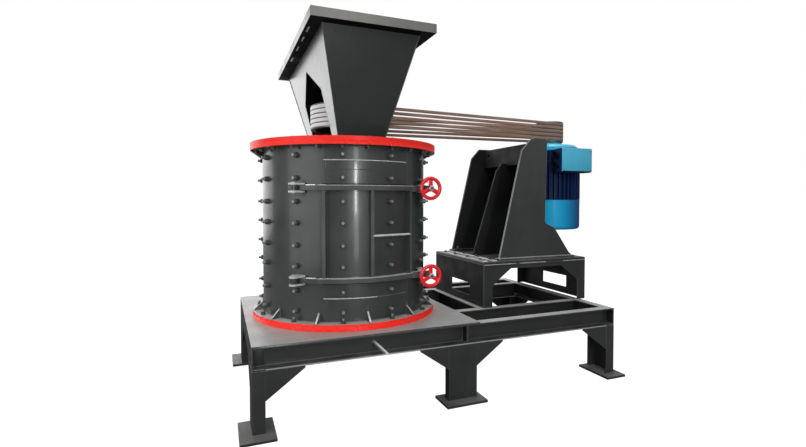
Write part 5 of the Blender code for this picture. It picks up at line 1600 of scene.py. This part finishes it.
@dataclass
class Drive:
    """The rotor, the pulleys and the belts."""

    bolts: Fasteners
    drum: Axis = field(default_factory=lambda: Axis.of("top_flange"))
    motor: Axis = field(default_factory=lambda: Axis.of("motor_pulley"))
    belts: int = 5
    belt_depth: float = 0.016
    belt_floor: float = 0.017
    corner: float = 0.0015
    bolt_circle: float = 0.080

    def build(self) -> None:
        """Dress the drive."""
        Skin("rotor", Finish.CAST, None, 0.003, "rotor").build()
        Skin("drum_pulley", Finish.CAST, None, 0.0008, "rotor", self.drum, 36, 144).build()
        Skin("motor_pulley", Finish.CAST, None, 0.0008, "motor_rotor", self.motor, 28,
             112).build()
        for number in range(1, self.belts + 1):
            self._belt(f"belt_{number}")
        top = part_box("drum_pulley")[1][2]
        for step in range(6):
            self.bolts.add("pulley_bolts", "rotor", Size.SMALL,
                           self.drum.at(30.0 + 60.0 * step, self.bolt_circle, top),
                           Vector((0, 0, 1)))

    def _belt(self, node: str) -> None:
        """A belt of the same section as the node's, with finer bends.

        Args:
            node: The belt's node.
        """
        low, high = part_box(node)
        level = (low[2] + high[2]) / 2
        half, foot, skim = (high[2] - low[2]) / 2, self.belt_floor / 2, 0.0002
        section = [(0.0, half), (0.0, -half), (-self.belt_depth, -foot), (-self.belt_depth, foot)]
        back = (high[1] - low[1]) / 2 - skim
        front = high[0] - self.motor.x - skim
        lean = math.asin((back - front) / (self.motor.x - self.drum.x))
        stations: list[tuple[Vector, Vector]] = []
        for axis, radius, start, sweep, count in (
                (self.drum, back, math.pi / 2 - lean, math.pi + 2 * lean, 96),
                (self.motor, front, -math.pi / 2 + lean, math.pi - 2 * lean, 48)):
            for step in range(count + 1):
                turn = start + sweep * step / count
                way = Vector((math.cos(turn), math.sin(turn), 0.0))
                stations.append((Vector((axis.x, axis.y, level)) + way * radius, way))
        shape = bmesh.new()
        rings = [[shape.verts.new(spot + way * out + Vector((0, 0, up))) for out, up in section]
                 for spot, way in stations]
        for index, ring in enumerate(rings):
            after = rings[(index + 1) % len(rings)]
            for corner in range(len(section)):
                other = (corner + 1) % len(section)
                shape.faces.new((ring[corner], ring[other], after[other], after[corner]))
        bmesh.ops.recalc_face_normals(shape, faces=shape.faces)
        name = f"{node}_fine"
        mesh = drawn(shape, name)
        mesh.materials.append(Finish.BELT.material)
        item = placed(name, mesh)
        soften(item, self.corner, 30.0, "MITER_SHARP")
        fine = settled(item)
        fine.shade_smooth()
        fine.set_sharp_from_angle(angle=math.radians(50))
        enter(name, fine, "machine", Finish.BELT.slot, node)


@dataclass
class Motor:
    """The upright motor with its fins, shield, cowl and terminal box."""

    bolts: Fasteners
    axis: Axis = field(default_factory=lambda: Axis.of("motor_pulley"))
    shield: float = 0.088
    glands: float = 0.0295
    screw_drop: float = 0.022
    lid_screws: tuple[float, float] = (0.048, 0.020)
    lid_face: float = 0.006

    def build(self) -> None:
        """Dress the motor."""
        Skin("motor_frame", Finish.BLUE, None, 0.001, rule=self._frame_rule).build()
        Skin("motor_fan_cowl", Finish.CYAN, None, 0.003, axis=self.axis, facets=36,
             steps=144).build()
        Skin("terminal_box", Finish.SKY, None, 0.002, rule=self._gland_rule).build()
        self._terminal_lid()
        self._fittings()

    def _frame_rule(self, face: bmesh.types.BMFace) -> Finish | None:
        """The shield is light blue, with painted shade on its sides; the ribs below are dark blue.

        Args:
            face: A face of the skin.

        Returns:
            Its finish, or nothing for the skin's own.
        """
        if face.calc_center_median().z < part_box("motor_frame")[1][2] - self.shield:
            return None
        return Finish.SKY if face.normal.z > 0.2 else Finish.CYAN

    def _gland_rule(self, face: bmesh.types.BMFace) -> Finish | None:
        """The cable glands are black, and the box's left side and underside carry painted shade.

        Args:
            face: A face of the skin.

        Returns:
            Its finish, or nothing for the skin's own.
        """
        if face.calc_center_median().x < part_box("terminal_box")[0][0] + self.glands:
            return Finish.BLACK_AND_SHADE
        # Painted shade in dark blue on the box's left side and underside.
        return Finish.BLUE if face.normal.x < -FACING or face.normal.z < -FACING else None

    def _terminal_lid(self) -> None:
        """The terminal box's lid with a dark joint below it."""
        low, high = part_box("terminal_box")
        lid = Mesher()
        lid.block((low[0] + 0.0345, low[1] - self.lid_face, low[2] + 0.012),
                  (high[0] - 0.003, low[1] + 0.004, high[2] - 0.003), Finish.SKY, bevel=0.005)
        lid.block((low[0] + 0.036, low[1] - 0.003, low[2] + 0.004),
                  (high[0] - 0.005, low[1] + 0.002, low[2] + 0.012), Finish.BLACK_AND_SHADE, bevel=0.001)
        lid.piece("terminal_lid", "machine")

    def _fittings(self) -> None:
        """Screws on the cowl and the terminal box."""
        low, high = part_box("motor_fan_cowl")
        radius = (high[0] - low[0]) / 2
        for step in range(6):
            angle = 60.0 * step
            self.bolts.add("cowl_screws", "machine", Size.SCREW,
                           self.axis.at(angle, radius - 0.0005, high[2] - self.screw_drop),
                           self.axis.outward(angle), Finish.STEEL)
        low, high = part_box("terminal_box")
        left, inset = self.lid_screws
        for x in (low[0] + left, high[0] - inset):
            for z in (low[2] + inset, high[2] - inset):
                self.bolts.add("box_screws", "machine", Size.SCREW,
                               Vector((x, low[1] - self.lid_face, z)), Vector((0, -1, 0)),
                               Finish.STEEL)


@dataclass
class Stand:
    """The bracket that holds the motor, and the table under it."""

    bolts: Fasteners
    welds: Welds
    beads: tuple[tuple[float, float], ...] = ((0.004, 0.30), (0.34, 0.60), (0.78, 1.01))
    strips: tuple[tuple[float, float], ...] = ((0.012, 0.052), (0.100, 0.140))
    slots: tuple[float, ...] = (0.10, 0.33, 0.56, 0.76)
    strip_height: float = 0.008
    slot_half: tuple[float, float] = (0.007, 0.045)
    rail: float = 0.018
    rail_bolt: float = 0.024
    rail_ends: tuple[float, float] = (0.06, 0.08)
    nut_face: float = 0.025
    nut_rows: tuple[float, float] = (0.11, 0.19)
    foot_half: float = 0.215

    def build(self) -> None:
        """Dress the stand."""
        # Pale rounded edges are a painted highlight; the back cheek and core carry painted shade.
        Skin("bracket_front", Finish.DARK, Finish.HIGHLIGHT, 0.0025, rule=self._inner_rule).build()
        Skin("bracket_back", Finish.SHADE_DARK, Finish.EDGE_HIGHLIGHT, 0.0020).build()
        Skin("bracket_core", Finish.SHADE_DARK, Finish.HIGHLIGHT, 0.0025).build()
        for node in ("table_front", "table_top"):
            Skin(node, Finish.BASE, Finish.EDGE_HIGHLIGHT, 0.0018).build()
        # The table's back and sides carry painted shade.
        for node in ("table_back", "table_left", "table_right"):
            Skin(node, Finish.SHADE_DARK, Finish.EDGE_HIGHLIGHT, 0.0018).build()
        self._slide_strips()
        self._rail_bolts()
        self._motor_bolts()
        low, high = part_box("table_front")
        # Pale beads along the table's front edge: a painted highlight.
        for bead in self.beads:
            self.welds.add("table_welds", [(low[0] + x, low[1] - 0.001, high[2]) for x in bead],
                           finish=Finish.HIGHLIGHT)

    @staticmethod
    def _inner_rule(face: bmesh.types.BMFace) -> Finish | None:
        """The cheek's face towards the motor's middle carries painted shade."""
        return Finish.SHADE_DARK if face.normal.y > FACING else None

    def _slide_strips(self) -> None:
        """Slotted strips on the table, which the bracket was slid along to tighten the belts."""
        low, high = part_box("table_top")
        top, skim, bolt_set = high[2] + self.strip_height, 0.0005, 0.015
        wide, long = self.slot_half
        strips = Mesher()
        for start, end in self.strips:
            strips.block((low[0] + start, low[1] + 0.030, high[2]),
                         (low[0] + end, high[1] - 0.060, top), Finish.SILVER_AND_HIGHLIGHT, bevel=0.0015)
            x = low[0] + (start + end) / 2
            for y in (low[1] + slot for slot in self.slots):
                # Black slots: painted shade in the holes of the strips.
                strips.block((x - wide, y - long, top - skim), (x + wide, y + long, top + skim),
                             Finish.BLACK_AND_SHADE, bevel=0.0)
                self.bolts.add("strip_bolts", "machine", Size.SMALL,
                               Vector((x, y + bolt_set, top)), Vector((0, 0, 1)))
        strips.piece("slide_strips", "machine")

    def _rail_bolts(self) -> None:
        """Bolts through the bracket's feet."""
        for node in ("bracket_front", "bracket_back"):
            low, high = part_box(node)
            middle = (low[1] + high[1]) / 2
            y = middle + self.rail_bolt if middle < 0 else middle - self.rail_bolt
            for x in (low[0] + self.rail_ends[0], (low[0] + high[0]) / 2,
                      high[0] - self.rail_ends[1]):
                self.bolts.add("rail_bolts", "machine", Size.MEDIUM,
                               Vector((x, y, low[2] + self.rail)), Vector((0, 0, 1)))

    def _motor_bolts(self) -> None:
        """Nuts of the motor's feet behind the mounting plate."""
        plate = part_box("bracket_core")[1][0] - self.nut_face
        low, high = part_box("motor_frame")
        centre = Axis.of("motor_pulley").y
        for side in (-1, 1):
            for z in (low[2] + self.nut_rows[0], high[2] - self.nut_rows[1]):
                self.bolts.add("motor_foot_nuts", "machine", Size.MEDIUM,
                               Vector((plate, centre + side * self.foot_half, z)),
                               Vector((-1, 0, 0)))


# Studio


@dataclass
class Studio:
    """A pale floor, soft light and a camera at the photograph's angle."""

    camera_place: Point = (-1.6250, -3.6618, 1.4129)
    yaw: float = 22.485
    pitch: float = -1.536
    focal_pixels: float = 479.86
    picture_width: float = 806.0
    picture_height: float = 447.0
    middle: tuple[float, float] = (418.18, 211.89)
    floor_size: float = 60.0
    room: float = 0.38
    panels: tuple[tuple[str, Point, Point, tuple[float, float], float], ...] = (
        ("back_panel", (-5.0, 10.0, 3.4), (-5.0, 0.0, 3.2), (17.0, 6.4), 1.5),
        ("left_panel", (-6.0, -2.2, 2.6), (-0.6, 0.0, 1.4), (5.4, 5.0), 1.6),
        ("strip_panel", (-0.75, -7.0, 1.66), (-0.7, 0.0, 1.5), (0.26, 1.00), 52.0),
        ("glow_panel", (-0.62, -7.1, 2.2), (-0.7, 0.0, 1.5), (0.80, 4.0), 6.0),
        ("front_panel", (-1.0, -7.0, 5.4), (0.0, 0.0, 1.2), (5.0, 2.4), 2.6),
        ("high_panel", (-0.5, 1.0, 6.5), (0.0, 0.0, 1.0), (6.0, 6.0), 3.4))

    def build(self) -> None:
        """Set up the studio."""
        bpy.context.scene.view_settings.view_transform = "Standard"
        self._floor()
        self._lights()
        self._camera()

    def _floor(self) -> None:
        """A plain pale floor that isn't part of the machine."""
        shape = bmesh.new()
        bmesh.ops.create_grid(shape, x_segments=1, y_segments=1, size=self.floor_size)
        mesh = drawn(shape, "studio_floor")
        floor = placed("studio_floor", mesh)
        material = bpy.data.materials.new("pale_floor")
        material.use_nodes = True
        nodes = Nodes(material.node_tree)
        seen = nodes.step("ShaderNodeLightPath")
        surface = nodes.tree.nodes["Principled BSDF"]
        for name, source in (("Base Color", (0.20, 0.20, 0.20, 1.0)), ("Roughness", 0.9),
                             ("Specular IOR Level", 0.1), ("Emission Color", WHITE),
                             ("Emission Strength", seen)):
            nodes.feed(surface.inputs[name], source)
        mesh.materials.append(material)
        floor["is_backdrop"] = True

    def _lights(self) -> None:
        """A white surround, a dim room for reflections, and soft panels."""
        world = bpy.data.worlds.new("studio_light")
        bpy.context.scene.world = world
        world.use_nodes = True
        nodes = Nodes(world.node_tree)
        room = nodes.tree.nodes["Background"]
        nodes.feed(room.inputs["Color"], (0.97, 0.98, 1.0, 1.0))
        nodes.feed(room.inputs["Strength"], self.room)
        seen = nodes.step("ShaderNodeLightPath")
        white = nodes.step("ShaderNodeBackground", color=WHITE)
        choose = nodes.node("ShaderNodeMixShader")
        for socket, source in zip(choose.inputs, (seen, room.outputs[0], white)):
            nodes.feed(socket, source)
        nodes.feed(nodes.tree.nodes["World Output"].inputs["Surface"], choose.outputs[0])
        for panel in self.panels:
            self._panel(*panel)

    @staticmethod
    def _panel(name: str, place: Point, target: Point, size: tuple[float, float],
               brightness: float) -> None:
        """A rectangular soft light.

        Args:
            name: Its name.
            place: Where its middle is.
            target: What it faces.
            size: Its width and height.
            brightness: How bright it is, in the room's own measure.
        """
        light = bpy.data.lights.new(name, "AREA")
        light.shape = "RECTANGLE"
        light.size, light.size_y = size
        light.energy = brightness * math.pi * size[0] * size[1]
        item = placed(name, light)
        item.location = place
        item.rotation_euler = (Vector(target) - Vector(place)).to_track_quat("-Z", "Y").to_euler()
        item.visible_camera = False

    def _camera(self) -> None:
        """The camera, from the view that was fitted to the photograph."""
        data = bpy.data.cameras.new("photo_camera")
        data.sensor_fit = "HORIZONTAL"
        data.sensor_width = 36.0
        data.lens = 36.0 * self.focal_pixels / self.picture_width
        data.shift_x = (self.picture_width / 2 - self.middle[0]) / self.picture_width
        data.shift_y = (self.middle[1] - self.picture_height / 2) / self.picture_width
        data.clip_end = 200.0
        camera = placed("photo_camera", data)
        camera.location = self.camera_place
        camera.rotation_euler = (math.radians(90.0 + self.pitch), 0.0, math.radians(-self.yaw))
        bpy.context.scene.camera = camera


def corners(box: Sequence[Sequence[float]]) -> list[list[float]]:
    """A box as plain lists of numbers."""
    return [[float(value) for value in corner] for corner in box]


def main() -> None:
    """Dress the machine, piece by piece."""
    logging.basicConfig(level=logging.INFO, format="%(name)s: %(message)s")
    cad_box = corners(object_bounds())
    bolts, welds = Fasteners(), Welds()
    BaseFrame(welds).build()
    Drum(bolts, welds).build()
    Door(bolts, welds).build()
    Hopper(welds).build()
    Drive(bolts).build()
    Motor(bolts).build()
    Stand(bolts, welds).build()
    bolts.build()
    welds.build()
    Studio().build()
    {"cad": cad_box, "visual": corners(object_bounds())}


if __name__ == "__main__":
    main()
